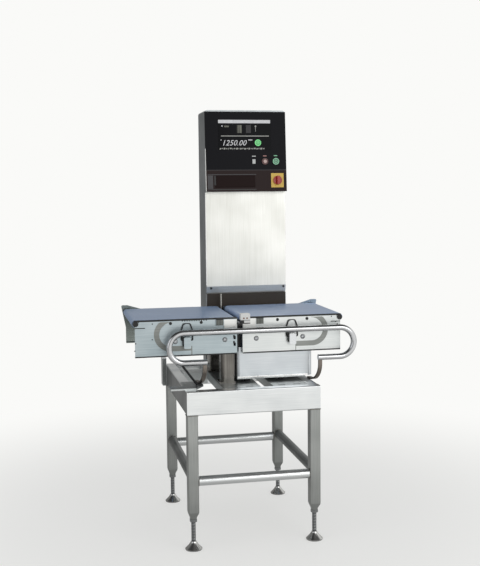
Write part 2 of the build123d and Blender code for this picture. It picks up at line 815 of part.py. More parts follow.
def weigh_platform():
    """Carrier of the weigh conveyor on the post that stands on the free end of the cell."""
    bottom = carrier_top - carrier_thickness
    post = rod_z(cell_left + cell_size / 2, belt_mid_y, cell_bottom + cell_size, bottom, post_radius)
    return Pos(gap_x, 0, 0) * carrier() + post


def infeed_support():
    """Carrier of the infeed conveyor on an arm and column welded to the stand."""
    bottom = carrier_top - carrier_thickness
    frame = Pos(gap_x, 0, 0) * mirror(carrier(), about=Plane.YZ)
    right = column_left + column_width
    mid_y = column_front + column_depth / 2
    arm = block(gap_x - carrier_outer_s, right, mid_y - arm_depth / 2, mid_y + arm_depth / 2,
                bottom - arm_height, bottom)
    seat = frame_top + column_foot
    rim = column_foot_rim
    foot = block(column_left - rim, right + rim, column_front - rim, column_front + column_depth + rim,
                 frame_top, seat)
    mid_x = column_left + column_width / 2
    column = Pos(mid_x, mid_y, seat) * hollow_section(
        column_width, column_depth, beam_wall, bottom - arm_height - seat
    )
    size = front_column_size
    x1 = housing_left - front_column_gap
    y0 = inner_front_y + plate_flange + side_gap
    outer = RectangleRounded(size, size, front_column_corner)
    bore = size - 2 * beam_wall
    section = outer - RectangleRounded(bore, bore, front_column_corner - beam_wall)
    front = Pos(x1 - size / 2, y0 + size / 2, seat) * extrude(section, amount=bottom - seat)
    front += block(x1 - size - rim, x1, y0, y0 + size + rim, frame_top, seat)
    return frame + arm + foot + column + front


def sensor_bracket():
    """Black bracket that stands on the weighing unit in the gap between the conveyors."""
    y0 = housing_front + housing_corner
    half = sensor_strip_width / 2
    x0, x1 = gap_x - half, gap_x + half
    face_y = plate_front_y - pad_thickness - 1
    foot = block(x0, x1, y0, y0 + sensor_foot_depth, housing_top, housing_top + sensor_foot)
    strip = block(x0, x1, y0, y0 + sensor_strip, housing_top, sensor_bottom)
    arm = block(x0, x1, face_y - sensor_strip, y0, sensor_arm_z, sensor_bottom)
    shelf = block(x0, sensor_left + sensor_width, face_y - sensor_depth, face_y,
                  sensor_bottom - sensor_foot, sensor_bottom)
    return foot + strip + arm + shelf


def sensor_head():
    """Light barrier: a rounded housing with two screws in its face."""
    y1 = plate_front_y - pad_thickness - 1
    y0 = y1 - sensor_depth
    x1 = sensor_left + sensor_width
    body = block(sensor_left, x1, y0, y1, sensor_bottom, sensor_top)
    body = fillet(body.edges().filter_by(Axis.Y), 3)
    mid_z = (sensor_bottom + sensor_top) / 2
    for share in (0.33, 0.67):
        body -= rod_y(sensor_left + sensor_width * share, mid_z, y0, y0 + 2, 3)
    return body


def reflector_post():
    """Slim post with its wedge foot, clamped behind the infeed conveyor."""
    z0 = reflector_base_z
    clip_left = gap_x - 4 * half_gap
    half = reflector_foot
    clip = block(clip_left, gap_x + half, plate_rear_y, plate_rear_y + plate_thickness,
                 z0 - reflector_clip_drop, z0)
    tongue = block(gap_x - half, gap_x + half, post_y - half, plate_rear_y, z0 - half, z0)
    wedge = side_profile([(post_y, z0), (plate_rear_y, z0), (post_y, z0 + reflector_wedge)],
                         gap_x - half / 2, gap_x + half / 2)
    return clip + tongue + wedge + rod_z(gap_x, post_y, z0, reflector_top, reflector_radius)


def cabinet_shell():
    """Folded sheet cabinet, open in front, set back below the cover."""
    x0, x1 = cabinet_left, cabinet_right
    lip_y = rim_y + cover_setback
    outline = [
        (rim_y, cover_bend), (rim_y, cabinet_top), (cabinet_rear, cabinet_top),
        (cabinet_rear, cabinet_floor), (recess_y, cabinet_floor), (recess_y, cover_bottom),
        (lip_y, cover_bottom),
    ]
    shell = side_profile(outline, x0, x1)
    rear = shell.edges().filter_by(Axis.Z).filter_by(lambda e: e.center().Y > cabinet_rear - 1)
    roof = shell.edges().filter_by(Axis.Y).filter_by(lambda e: e.center().Z > cabinet_top - 1)
    shell = fillet(list(rear) + list(roof), cabinet_corner)
    w = cabinet_wall
    inner = [
        (rim_y + w, cover_bend), (rim_y + w, cabinet_top - w), (cabinet_rear - w, cabinet_top - w),
        (cabinet_rear - w, cabinet_floor + w), (recess_y + w, cabinet_floor + w),
        (recess_y + w, cover_bottom + w), (lip_y + w, cover_bottom + w),
    ]
    cavity = side_profile(inner, x0 + w, x1 - w)
    edges = cavity.edges().filter_by(Axis.Z).filter_by(lambda e: e.center().Y > cabinet_rear - w - 1)
    cavity = fillet(edges, cabinet_corner - w)
    roof = cavity.edges().filter_by(Axis.Y).filter_by(lambda e: e.center().Z > cabinet_top - w - 1)
    cavity = fillet(roof, cabinet_corner - w)
    mouth = block(x0 + cabinet_rim, x1 - cabinet_rim, rim_y - 1, rim_y + 2 * w,
                  cover_bend, cabinet_top - cabinet_rim)
    shell = shell - cavity - mouth
    for x in (x0, x1 - w):
        shell += block(x, x + w, rim_y, recess_y, cabinet_floor, cover_bottom)
    mid_x = (x0 + x1) / 2
    mid_y = recess_y + plinth_depth / 2
    return shell - rod_z(mid_x, mid_y, cabinet_floor - 1, cabinet_floor + w + 1, cable_hole_radius)


def cabinet_plinth():
    """Shallower foot of the cabinet that stands on the rear beam."""
    y1 = recess_y + plinth_depth
    w = cabinet_wall
    outer = block(cabinet_left, cabinet_right, recess_y, y1, frame_top, cabinet_floor)
    return outer - block(cabinet_left + w, cabinet_right - w, recess_y + w, y1 - w, frame_top, cabinet_floor)


def front_cover():
    """Cover sheet of the cabinet, bent back along its lower edge."""
    top = panel_bottom - cover_side_gap
    outline = [
        (cabinet_front, top), (cabinet_front, cover_bend),
        (cabinet_front + cover_setback, cover_bottom), (rim_y + cover_setback, cover_bottom),
        (rim_y, cover_bend), (rim_y, top),
    ]
    return side_profile(outline, cabinet_left + cover_side_gap, cabinet_right - cover_side_gap)


panel_y = cabinet_front - panel_proud_bottom
panel_tilt = atan2(panel_proud_bottom - panel_proud_top, panel_top - panel_bottom)
panel_length = hypot(panel_proud_bottom - panel_proud_top, panel_top - panel_bottom)
panel_stretch = panel_length / (panel_top - panel_bottom)
panel_up = Vector(0, panel_proud_bottom - panel_proud_top, panel_top - panel_bottom).normalized()
panel_out = Vector(1, 0, 0).cross(panel_up)
panel_plane = Plane(origin=(0, panel_y, panel_bottom), x_dir=(1, 0, 0), z_dir=panel_out)


def up_panel(z):
    """Distance up the sloping panel face for a height above the floor."""
    return (z - panel_bottom) * panel_stretch


def panel_block(x0, x1, z0, z1, inner, outer):
    """A block on the sloping panel, from a depth below its face to a height above it."""
    v0, v1 = up_panel(z0), up_panel(z1)
    place = Pos((x0 + x1) / 2, (v0 + v1) / 2, (inner + outer) / 2)
    return panel_plane * (place * Box(x1 - x0, v1 - v0, outer - inner))


def panel_disc(x, z, inner, outer, radius):
    """A disc square to the sloping panel face."""
    place = Pos(x, up_panel(z), (inner + outer) / 2)
    return panel_plane * (place * Cylinder(radius, outer - inner))


def control_panel():
    """Wedge shaped steel frame that leans the operator panel back."""
    depth = bezel_thickness * panel_stretch
    outline = [
        (panel_y + depth, panel_bottom), (cabinet_front - panel_proud_top + depth, panel_top),
        (rim_y, panel_top), (rim_y, panel_bottom),
    ]
    wedge = side_profile(outline, cabinet_left, cabinet_right)
    window = block(
        cabinet_left + panel_wall, cabinet_right - panel_wall, panel_y, rim_y,
        panel_bottom + panel_wall, panel_top - 6 * panel_wall,
    )
    return wedge - window


def bezel():
    """Black operator plate with its openings and the pocket behind the flap."""
    plate = panel_block(cabinet_left, cabinet_right, panel_bottom, panel_top, -bezel_thickness, 0)
    w = pocket_wall
    pocket = panel_block(flap_left - w, flap_right + w, flap_bottom - w, flap_top + w, -pocket_depth - w, 0)
    plate += pocket
    plate -= panel_block(flap_left, flap_right, flap_bottom, flap_top, -pocket_depth, 1)
    pin_depth = flap_thickness / 2
    pin_z = flap_bottom + side_gap + pin_depth
    pin = Pos(0, up_panel(pin_z), -pin_depth) * Rot(0, 90, 0) * Cylinder(
        flap_pin_radius + journal_clearance, 2 * (flap_right - flap_left)
    )
    span = Pos((flap_left + flap_right) / 2, 0, 0) * Box(
        flap_right - flap_left + 2 * (flap_pin_length + side_gap), 4 * panel_length, panel_length
    )
    plate -= panel_plane * (pin & span)
    plate -= panel_block(display_left, display_right, display_bottom, display_top, -glass_thickness, 1)
    ledge = glass_ledge
    plate -= panel_block(display_left + ledge, display_right - ledge, display_bottom + ledge,
                         display_top - ledge, -bezel_thickness - 1, 1)
    for x in (stop_key_x, start_key_x):
        plate -= panel_disc(x, key_z, -bezel_thickness - 1, 1, key_radius + key_clearance)
    plate -= panel_disc(switch_x, switch_z, -bezel_thickness - 1, 1, knob_shaft_radius + journal_clearance)
    half = split_width / 2
    return plate - panel_block(cabinet_left, cabinet_right, split_z - half, split_z + half, -split_width, 1)


def display_glass():
    """Window of the display, seated on the ledge of the black plate."""
    gap = side_gap
    return panel_block(display_left + gap, display_right - gap, display_bottom + gap, display_top - gap,
                       -glass_thickness, 0)


def key(x):
    """Push key with the collar that keeps it behind the plate."""
    collar_top = -bezel_thickness - belt_gap
    stem = panel_disc(x, key_z, collar_top - key_flange_height, key_proud, key_radius)
    return stem + panel_disc(x, key_z, collar_top - key_flange_height, collar_top, key_radius + key_flange)


def media_flap():
    """Flap over the media slot, turning on two pins along its lower edge."""
    gap = side_gap
    half = flap_thickness / 2
    pin_z = flap_bottom + gap + half
    flap = panel_block(flap_left + gap, flap_right - gap, pin_z, flap_top - gap, -flap_thickness, 0)
    lower = Pos((flap_left + flap_right) / 2, up_panel(pin_z), -half) * Rot(0, 90, 0)
    width = flap_right - flap_left
    flap += panel_plane * (lower * Cylinder(half, width - 2 * gap))
    return flap + panel_plane * (lower * Cylinder(flap_pin_radius, width + 2 * flap_pin_length))


def switch_plate():
    """Yellow backing plate of the main switch."""
    half_x = switch_plate_width / 2
    half_z = switch_plate_height / 2
    plate = panel_block(switch_x - half_x, switch_x + half_x, switch_z - half_z, switch_z + half_z,
                        0, switch_plate_thickness)
    return plate - panel_disc(switch_x, switch_z, -1, switch_plate_thickness + 1,
                              knob_shaft_radius + journal_clearance)


def switch_knob():
    """Red rotary handle of the main switch with its shaft."""
    bottom = switch_plate_thickness + side_gap
    disc = panel_disc(switch_x, switch_z, bottom, bottom + knob_base, knob_radius)
    grip_top = bottom + knob_base + knob_grip
    half = knob_grip_width / 2
    reach = knob_radius - 1
    grip = panel_block(switch_x - half, switch_x + half, switch_z - reach, switch_z + reach,
                       bottom + knob_base, grip_top)
    shaft = panel_disc(switch_x, switch_z, bottom - knob_shaft_length, bottom, knob_shaft_radius)
    return disc + grip + shaft


def electronics():
    """Mounting plate on four spacers with the supply, both motor drives and the terminals."""
    x0, x1 = cabinet_left + tray_margin, cabinet_right - tray_margin
    wall_y = cabinet_rear - cabinet_wall
    back = wall_y - spacer_length
    face = back - tray_thickness
    plate = block(x0, x1, face, back, tray_bottom, tray_top)
    inset = 3 * spacer_radius
    for x in (x0 + inset, x1 - inset):
        for z in (tray_bottom + inset, tray_top - inset):
            plate += rod_y(x, z, back, wall_y, spacer_radius)
    mid = (x0 + x1) / 2
    g = unit_gap
    low = tray_top - 2 * g - supply_height
    supply = block(x0 + g, mid - g, face - supply_depth, face, low, tray_top - 2 * g)
    board = block(mid + g, x1 - g, face - board_depth, face, low, tray_top - 2 * g)
    terminals = block(x0 + g, x1 - g, face - terminal_depth, face,
                      tray_bottom + 3 * g, tray_bottom + 3 * g + terminal_depth)
    solids = [plate, supply, board, terminals]
    for x in (x0 + g, mid + g):
        solids.append(block(x, x + drive_width, face - drive_depth, face,
                            tray_bottom + 9 * g, tray_bottom + 9 * g + drive_height))
    return Compound(solids)


def build_parts():
    """All sub-parts by name."""
    parts = {}
    feet = {
        "front_left": (-leg_x, front_leg_y), "front_right": (leg_x, front_leg_y),
        "rear_left": (-leg_x, rear_leg_y), "rear_right": (leg_x, rear_leg_y),
    }
    for place, (x, y) in feet.items():
        parts[f"leg_{place}"] = leg(x, y)
        parts[f"foot_{place}"] = levelling_foot(x, y)
    parts["top_beams"] = top_beams()
    parts["lower_rails"] = lower_rails()
    parts["crossmembers"] = crossmembers()
    rail = guard_tube()
    parts["guard_tube"] = rail
    parts["guard_strap_left"] = guard_strap(guard_left_end - strap_inset, frame_top + corner_plate_thickness)
    parts["guard_strap_right"] = guard_strap(guard_right_end + strap_inset, frame_top)
    parts["guard_stay"] = guard_stay(rail)
    parts["housing_shell"] = housing_shell()
    parts["housing_base"] = housing_base()
    parts["rubber_feet"] = rubber_feet()
    parts["load_cell"] = load_cell()
    parts["weigh_platform"] = weigh_platform()
    parts["infeed_support"] = infeed_support()

    for name, side in (("infeed", -1), ("weigh", 1)):
        def place(piece):
            if side < 0:
                piece = mirror(piece, about=Plane.YZ)
            return Pos(gap_x, 0, 0) * piece

        latch_x = gap_x + side * latch_s
        plate = place(front_plate(latch_s))
        if name == "infeed":
            s0 = -half_gap / 2
            for z in hook_slot_heights:
                x1 = gap_x - half_gap + s0
                plate -= block(x1 - hook_slot_width, x1, plate_front_y - 1, inner_front_y + 1,
                               z - hook_slot_height / 2, z + hook_slot_height / 2)
        parts[f"{name}_front_plate"] = plate
        parts[f"{name}_rear_plate"] = place(rear_plate())
        parts[f"{name}_slider_bed"] = place(slider_bed())
        parts[f"{name}_belt"] = place(drive_loop(
            inner_roller_s, roller_z, outer_roller_s, roller_z, belt_inner_radius, belt_thickness,
            belt_front_y, belt_rear_y,
        ))
        parts[f"{name}_drive_roller"] = place(roller(inner_roller_s, True))
        parts[f"{name}_idler_roller"] = place(roller(outer_roller_s, False))
        parts[f"{name}_bearings"] = place(bearings())
        parts[f"{name}_motor"] = place(motor())
        parts[f"{name}_motor_pulley"] = place(motor_pulley())
        parts[f"{name}_timing_belt"] = place(timing_belt())
        parts[f"{name}_latch_lever"] = latch_lever(latch_x)
        parts[f"{name}_latch_bail"] = latch_bail(latch_x)

    parts["sensor_bracket"] = sensor_bracket()
    parts["sensor_head"] = sensor_head()
    parts["reflector_post"] = reflector_post()
    parts["cabinet_shell"] = cabinet_shell()
    parts["cabinet_plinth"] = cabinet_plinth()
    parts["front_cover"] = front_cover()
    parts["control_panel"] = control_panel()
    parts["bezel"] = bezel()
    parts["display_glass"] = display_glass()
    parts["stop_key"] = key(stop_key_x)
    parts["start_key"] = key(start_key_x)
    parts["media_flap"] = media_flap()
    parts["switch_plate"] = switch_plate()
    parts["switch_knob"] = switch_knob()
    parts["electronics"] = electronics()
    return parts


os.makedirs("parts", exist_ok=True)
for part_name, shape in build_parts().items():
    export_step(Pos(stand_middle, 0, 0) * shape, f"parts/{part_name}.step")
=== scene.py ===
import math

import bmesh
import bpy
from mathutils import Matrix, Vector


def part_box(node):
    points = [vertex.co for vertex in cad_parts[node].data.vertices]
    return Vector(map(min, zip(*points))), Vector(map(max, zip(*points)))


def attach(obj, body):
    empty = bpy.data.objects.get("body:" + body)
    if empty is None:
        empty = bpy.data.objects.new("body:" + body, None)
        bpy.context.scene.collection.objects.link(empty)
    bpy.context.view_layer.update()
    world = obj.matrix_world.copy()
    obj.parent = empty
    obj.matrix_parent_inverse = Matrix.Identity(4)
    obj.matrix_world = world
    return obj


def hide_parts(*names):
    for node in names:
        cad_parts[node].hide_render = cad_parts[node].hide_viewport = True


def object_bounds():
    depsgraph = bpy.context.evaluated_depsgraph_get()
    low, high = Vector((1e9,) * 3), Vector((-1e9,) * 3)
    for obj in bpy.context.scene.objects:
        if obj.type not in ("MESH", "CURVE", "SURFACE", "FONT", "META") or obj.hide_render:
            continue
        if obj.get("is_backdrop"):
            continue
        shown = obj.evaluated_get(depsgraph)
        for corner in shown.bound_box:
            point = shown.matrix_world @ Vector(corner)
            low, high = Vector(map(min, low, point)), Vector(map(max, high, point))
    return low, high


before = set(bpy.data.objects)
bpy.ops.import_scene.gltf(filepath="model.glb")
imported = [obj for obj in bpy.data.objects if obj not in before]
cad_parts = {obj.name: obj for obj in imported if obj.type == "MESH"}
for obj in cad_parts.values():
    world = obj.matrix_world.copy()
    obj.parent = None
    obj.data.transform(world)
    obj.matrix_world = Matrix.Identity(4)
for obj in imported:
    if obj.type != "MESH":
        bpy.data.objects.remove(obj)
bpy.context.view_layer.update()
mm = 0.001


# Legs. Four square stainless tubes, each drawn in at its foot end to a round spigot
# for the levelling screw. Welded, ground flush, then brushed along the tube.

def linear(hex_colour):
    """The linear colour of an sRGB hex value."""
    parts = [int(hex_colour[i:i + 2], 16) / 255 for i in (1, 3, 5)]
    return [c / 12.92 if c <= 0.04045 else ((c + 0.055) / 1.055) ** 2.4 for c in parts] + [1.0]


def add_node(tree, kind, inputs=None, **settings):
    """Adds a node with its settings, and its inputs as values or links."""
    node = tree.nodes.new(kind)
    for key, value in settings.items():
        setattr(node, key, value)
    for key, value in (inputs or {}).items():
        if isinstance(value, bpy.types.NodeSocket):
            tree.links.new(value, node.inputs[key])
        else:
            node.inputs[key].default_value = value
    return node


def start_material(name, **surface):
    """A new material with its tree, its shader, whose plain sockets are set here, and
    the socket that gives the place on the object."""
    material = bpy.data.materials.new(name)
    material.use_nodes = True
    tree = material.node_tree
    tree.nodes.clear()
    shader = add_node(tree, "ShaderNodeBsdfPrincipled")
    for key, value in surface.items():
        shader.inputs[key.replace("_", " ")].default_value = value
    add_node(tree, "ShaderNodeOutputMaterial", {"Surface": shader.outputs[0]})
    return material, tree, shader, add_node(tree, "ShaderNodeTexCoord").outputs["Object"]


def lay_finish(tree, shader, share, dark, light, gloss=None, relief=None):
    """Colours a surface between two tones by a share. Gloss is a value, its range and
    the roughness at both ends of it; relief is a height, its strength and its depth."""
    tint = add_node(tree, "ShaderNodeMix", {
        "Factor": share, "A": linear(dark), "B": linear(light),
    }, data_type="RGBA")
    tree.links.new(tint.outputs["Result"], shader.inputs["Base Color"])
    if gloss:
        value, start, end, at_start, at_end = gloss
        rough = add_node(tree, "ShaderNodeMapRange", {
            "Value": value, "From Min": start, "From Max": end, "To Min": at_start, "To Max": at_end,
        })
        tree.links.new(rough.outputs[0], shader.inputs["Roughness"])
    if relief:
        height, strength, depth = relief
        bump = add_node(tree, "ShaderNodeBump", {
            "Height": height, "Strength": strength, "Distance": depth,
        })
        tree.links.new(bump.outputs[0], shader.inputs["Normal"])


def brushed_stainless(name, light, dark, along, roughness=0.34, lines=700.0):
    """Stainless steel brushed with an abrasive belt: fine lines along one axis that
    stretch reflections across them, and faint cloudy marks from handling. The lines
    are drawn about 1.4 mm apart, coarser than the real grit, so that they show."""
    material, tree, shader, place = start_material(name, Metallic=1.0)
    stretch = [lines] * 3
    stretch[along] = lines / 90
    spread = add_node(tree, "ShaderNodeMapping", {"Vector": place, "Scale": stretch})
    strokes = add_node(tree, "ShaderNodeTexNoise", {
        "Vector": spread.outputs[0], "Scale": 1.0, "Detail": 3.0, "Roughness": 0.6,
    }).outputs[0]
    clouds = add_node(tree, "ShaderNodeTexNoise", {"Vector": place, "Scale": 7.0, "Detail": 2.0})
    both = add_node(tree, "ShaderNodeMath", {
        0: strokes, 1: clouds.outputs[0],
    }, operation="ADD").outputs[0]
    share = add_node(tree, "ShaderNodeMapRange", {"Value": both, "From Min": 0.7, "From Max": 1.3})
    lay_finish(tree, shader, share.outputs[0], dark, light,
               (both, 0.6, 1.4, roughness + 0.08, roughness - 0.08), (strokes, 0.12, 0.0004))
    return material


def ring(centre, axis, radius, steps=48, square=0.0, corner=1.0):
    """A closed ring of points: a circle, or with square set, a rounded square."""
    u, v = (Vector([float(i == (axis + turn) % 3) for i in range(3)]) for turn in (1, 2))
    flat = square / 2 - corner
    points = []
    for i in range(steps):
        angle = 2 * math.pi * (i + 0.5) / steps
        a, b = math.cos(angle), math.sin(angle)
        reach = square / 2 / max(abs(a), abs(b)) if square else radius
        x, y = a * reach, b * reach
        if square and abs(x) > flat and abs(y) > flat:
            turn = math.atan2(abs(y) - flat, abs(x) - flat)
            x = math.copysign(flat + corner * math.cos(turn), x)
            y = math.copysign(flat + corner * math.sin(turn), y)
        points.append(Vector(centre) + u * x + v * y)
    return points


def add_rings(bm, rings, joined=False):
    """Skins a row of closed rings. Both ends are capped, or joined to each other."""
    rows = [[bm.verts.new(point) for point in points] for points in rings]
    count = len(rows[0])
    following = rows[1:] + (rows[:1] if joined else [])
    for low, high in zip(rows, following):
        for i in range(count):
            j = (i + 1) % count
            bm.faces.new((low[i], low[j], high[j], high[i]))
    if not joined:
        bm.faces.new(rows[0][::-1])
        bm.faces.new(rows[-1])


def mesh_from(name, bm):
    """The mesh of a finished form, with its faces turned outward."""
    mesh = bpy.data.meshes.new(name)
    bmesh.ops.recalc_face_normals(bm, faces=bm.faces)
    bm.to_mesh(mesh)
    bm.free()
    return mesh


def settled_mesh(carrier):
    """The plain mesh of an object after its modifiers. The object itself goes."""
    bpy.context.scene.collection.objects.link(carrier)
    bpy.context.view_layer.update()
    seen = carrier.evaluated_get(bpy.context.evaluated_depsgraph_get())
    mesh = bpy.data.meshes.new_from_object(seen)
    bpy.data.objects.remove(carrier)
    return mesh


def add_piece(name, mesh, body, material, replaces=(), crease=35.0):
    """Makes a mesh one piece of the object: closed, shaded, coloured and riding on its body."""
    if isinstance(mesh, bmesh.types.BMesh):
        mesh = mesh_from(name, mesh)
    mesh.shade_smooth()
    mesh.set_sharp_from_angle(angle=math.radians(crease))
    carrier = bpy.data.objects.new(name, mesh)
    carrier.modifiers.new("Even", "WEIGHTED_NORMAL").keep_sharp = True
    mesh = settled_mesh(carrier)
    mesh.materials.clear()
    mesh.materials.append(material)
    piece = bpy.data.objects.new(name, mesh)
    bpy.context.scene.collection.objects.link(piece)
    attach(piece, body)
    if replaces:
        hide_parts(*replaces)


# The legs and the level tubes are one stainless in two copies: the upright copy is mid grey, painted
# shade; the level copy is near white, painted light.
upright_tube = brushed_stainless("stainless tube brushed upright", "#B0B2B0", "#8F9290", 2)
leg_places = ("front_left", "front_right", "rear_left", "rear_right")
tube_side, leg_corner = 38 * mm, 4 * mm
spigot_radius, taper_length = 12 * mm, 26 * mm
for spot in leg_places:
    low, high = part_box("leg_" + spot)
    x, y = high.x - tube_side / 2, (low.y + high.y) / 2
    sections = [ring((x, y, low.z), 2, spigot_radius)]
    for step in range(1, 7):
        share = step / 6
        eased = share * share * (3 - 2 * share)
        width = 2 * spigot_radius + (tube_side - 2 * spigot_radius) * eased
        corner = spigot_radius * (1 - eased) * 0.98 + leg_corner * eased
        sections.append(ring((x, y, low.z + taper_length * share), 2, 0, 48, width, corner))
    for drop, narrower in ((1 * mm, 0), (0, 1.5 * mm)):
        sections.append(ring((x, y, high.z - drop), 2, 0, 48, tube_side - narrower, leg_corner))
    bm = bmesh.new()
    add_rings(bm, sections)
    add_piece("tube_leg_" + spot, bm, "machine", upright_tube, ["leg_" + spot])


# Top beams and cross members. Deep rectangular tube welded on the legs, with folded
# channels between and a flat plate on the left corner. The beams are brushed along X;
# the outer faces of the side beams and of the corner post are brushed upright, and get
# thin skins in a darker copy of the steel: painted shade on the side faces.

def dress(material, *nodes):
    """Gives CAD nodes their finish."""
    for node in nodes:
        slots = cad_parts[node].material_slots
        for entry in slots:
            entry.material = material
        if not slots:
            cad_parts[node].data.materials.append(material)


def add_block(bm, low, high, radius, segments=2):
    """A block with rounded edges."""
    low, high = Vector(low), Vector(high)
    made = bmesh.ops.create_cube(bm, size=1.0)["verts"]
    for vert in made:
        vert.co = [(low[i] + high[i]) / 2 + vert.co[i] * (high[i] - low[i]) for i in range(3)]
    edges = list({edge for vert in made for edge in vert.link_edges})
    bmesh.ops.bevel(bm, geom=edges, offset=radius, segments=segments, affect="EDGES", profile=0.5)


def add_blocks(name, blocks, material, segments=2):
    """One piece of rounded blocks, each given by two corners and its edge radius."""
    bm = bmesh.new()
    for low, high, radius in blocks:
        add_block(bm, low, high, radius, segments)
    add_piece(name, bm, "machine", material)


level_tube = brushed_stainless("stainless tube brushed level", "#F2F4F4", "#DCDFE0", 0)
dress(level_tube, "top_beams")
side_tube = brushed_stainless("side tube brushed upright", "#8F9292", "#707373", 2)
beams_low, beams_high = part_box("top_beams")
wall_left, wall_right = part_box("leg_front_left")[0].x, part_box("leg_front_right")[1].x
beam_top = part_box("crossmembers")[1].z - 6 * mm
post_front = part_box("leg_rear_left")[0].y
skin, skin_edge = 0.3 * mm, 0.25 * mm
add_blocks("side_beam_faces", [
    ((x - skin, beams_low.y + 3 * mm, beams_low.z + 3 * mm),
     (x + skin, beams_high.y - 3 * mm, beam_top - 3 * mm), skin_edge)
    for x in (wall_left, wall_right)
] + [
    ((beams_low.x + 0.6 * mm, post_front - skin, beams_low.z + 2 * mm),
     (wall_left - 1 * mm, post_front + skin, beams_high.z - 2 * mm), skin_edge),
], side_tube)
member_sheet = brushed_stainless("folded stainless strip", "#D0D4D4", "#AEB2B2", 1, 0.4)
dress(member_sheet, "crossmembers")


# Lower rails. Round stainless tubes between the legs, welded all round at both ends.
# The weld is a row of small overlapping ripples, left as welded and only pickled.

def merged(mesh, distance=1e-6):
    """A mesh opened for work, with the points that lie on each other joined."""
    bm = bmesh.new()
    bm.from_mesh(mesh)
    bmesh.ops.remove_doubles(bm, verts=bm.verts, dist=distance)
    return bm


def merged_copy(node):
    """A copy of a CAD node with its loose triangles joined to clean faces."""
    bm = merged(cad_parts[node].data)
    bmesh.ops.dissolve_limit(bm, angle_limit=math.radians(1), verts=bm.verts, edges=bm.edges)
    return bm


rail_low, rail_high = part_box("lower_rails")
rail_radius = 17 * mm
# The rails across take the near-white level copy, painted light; the rails along the sides take the
# darker side copy, painted shade.
for name, runs_along, steel in (("rails_across", False, level_tube), ("rails_along", True, side_tube)):
    bm = merged_copy("lower_rails")
    start, end = rail_low.y + 2.1 * rail_radius, rail_high.y - 2.1 * rail_radius
    others = [v for v in bm.verts if (start < v.co.y < end) != runs_along]
    bmesh.ops.delete(bm, geom=others, context="VERTS")
    add_piece(name, bm, "machine", steel, [] if runs_along else ["lower_rails"])


def start_tree(name, **inputs):
    """A new geometry tree with its named inputs. The first of them is what it starts from."""
    tree = bpy.data.node_groups.new(name, "GeometryNodeTree")
    sockets = {label: tree.interface.new_socket(label, in_out="INPUT", socket_type="NodeSocket" + kind)
               for label, kind in inputs.items()}
    tree.interface.new_socket("Result", in_out="OUTPUT", socket_type="NodeSocketGeometry")
    return tree, sockets, add_node(tree, "NodeGroupInput").outputs


def grow(tree, sockets, entry, geometry, points, **values):
    """Ends a geometry tree in plain coated geometry, sets its inputs and runs it on points."""
    real = add_node(tree, "GeometryNodeRealizeInstances", {"Geometry": geometry})
    coated = add_node(tree, "GeometryNodeSetMaterial", {
        "Geometry": real.outputs[0], "Material": entry["Coat"],
    })
    add_node(tree, "NodeGroupOutput", {"Result": coated.outputs[0]})
    seeds = bpy.data.meshes.new(tree.name)
    seeds.from_pydata([tuple(point) for point in points], [], [])
    carrier = bpy.data.objects.new(tree.name, seeds)
    modifier = carrier.modifiers.new(tree.name, "NODES")
    modifier.node_group = tree
    for label, value in values.items():
        modifier[sockets[label].identifier] = value
    return settled_mesh(carrier)


def set_out(name, points, part, size, material, turn=(0, 0, 0)):
    """Sets a copy of a part on each point and returns them as one plain mesh."""
    tree, sockets, entry = start_tree(
        name, Points="Geometry", Part="Object", Size="Vector", Turn="Vector", Coat="Material")
    shape = add_node(tree, "GeometryNodeObjectInfo", {"Object": entry["Part"]})
    spread = add_node(tree, "GeometryNodeInstanceOnPoints", {
        "Points": entry["Points"], "Instance": shape.outputs["Geometry"],
        "Rotation": entry["Turn"], "Scale": entry["Size"],
    })
    return grow(tree, sockets, entry, spread.outputs[0], points,
                Part=part, Size=size, Turn=turn, Coat=material)


def pattern(name, bm):
    """A small part that is copied by set_out and is itself not shown."""
    return bpy.data.objects.new(name, mesh_from(name, bm))


weld_steel = brushed_stainless("pickled weld", "#B4B2AE", "#87837C", 2, 0.45, 200.0)
bead_radius, beads_round = 1.8 * mm, 64
blob = bmesh.new()
bmesh.ops.create_icosphere(blob, subdivisions=1, radius=1.0)
weld_ripple = pattern("weld_ripple", blob)
bead_points = []
front_leg, back_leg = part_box("leg_front_left"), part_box("leg_rear_right")
inner_left, inner_right = front_leg[1].x, back_leg[1].x - tube_side
middle_left, middle_right = inner_left - tube_side / 2, inner_right + tube_side / 2
for y in ((front_leg[0].y + front_leg[1].y) / 2, (back_leg[0].y + back_leg[1].y) / 2):
    for x in (inner_left + bead_radius / 2, inner_right - bead_radius / 2):
        bead_points += ring((x, y, rail_low.z + rail_radius), 0, rail_radius, beads_round)
    for x in (middle_left, middle_right):
        bead_points += ring((x, y, front_leg[1].z), 2, 0, 84, tube_side + 1 * mm, leg_corner)
for x in (middle_left, middle_right):
    for y in (front_leg[1].y + bead_radius / 2, back_leg[0].y - bead_radius / 2):
        bead_points += ring((x, y, rail_high.z - rail_radius), 1, rail_radius, beads_round)
beads = set_out("rail_weld_beads", bead_points, weld_ripple, [bead_radius] * 3, weld_steel)
add_piece("rail_welds", beads, "machine", weld_steel, crease=80)


# Levelling feet. A spun steel cone on a rubber sole, and a stainless M16 screw with its
# lock nut. The cone is polished bright, and the thread has a 2 mm pitch.

def polished_steel(name, colour, roughness):
    """Stainless steel polished after bending or turning: a near mirror, slightly
    softened and clouded by fine scratches."""
    material, tree, shader, place = start_material(name, Metallic=1.0)
    haze = add_node(tree, "ShaderNodeTexNoise", {
        "Vector": place, "Scale": 60.0, "Detail": 4.0,
    }).outputs[0]
    shade = add_node(tree, "ShaderNodeMapRange", {
        "Value": haze, "From Min": 0.2, "From Max": 0.8, "To Min": 0.93, "To Max": 1.0,
    })
    lay_finish(tree, shader, shade.outputs[0], "#8F9092", colour,
               (haze, 0.3, 0.7, roughness, roughness + 0.08))
    return material


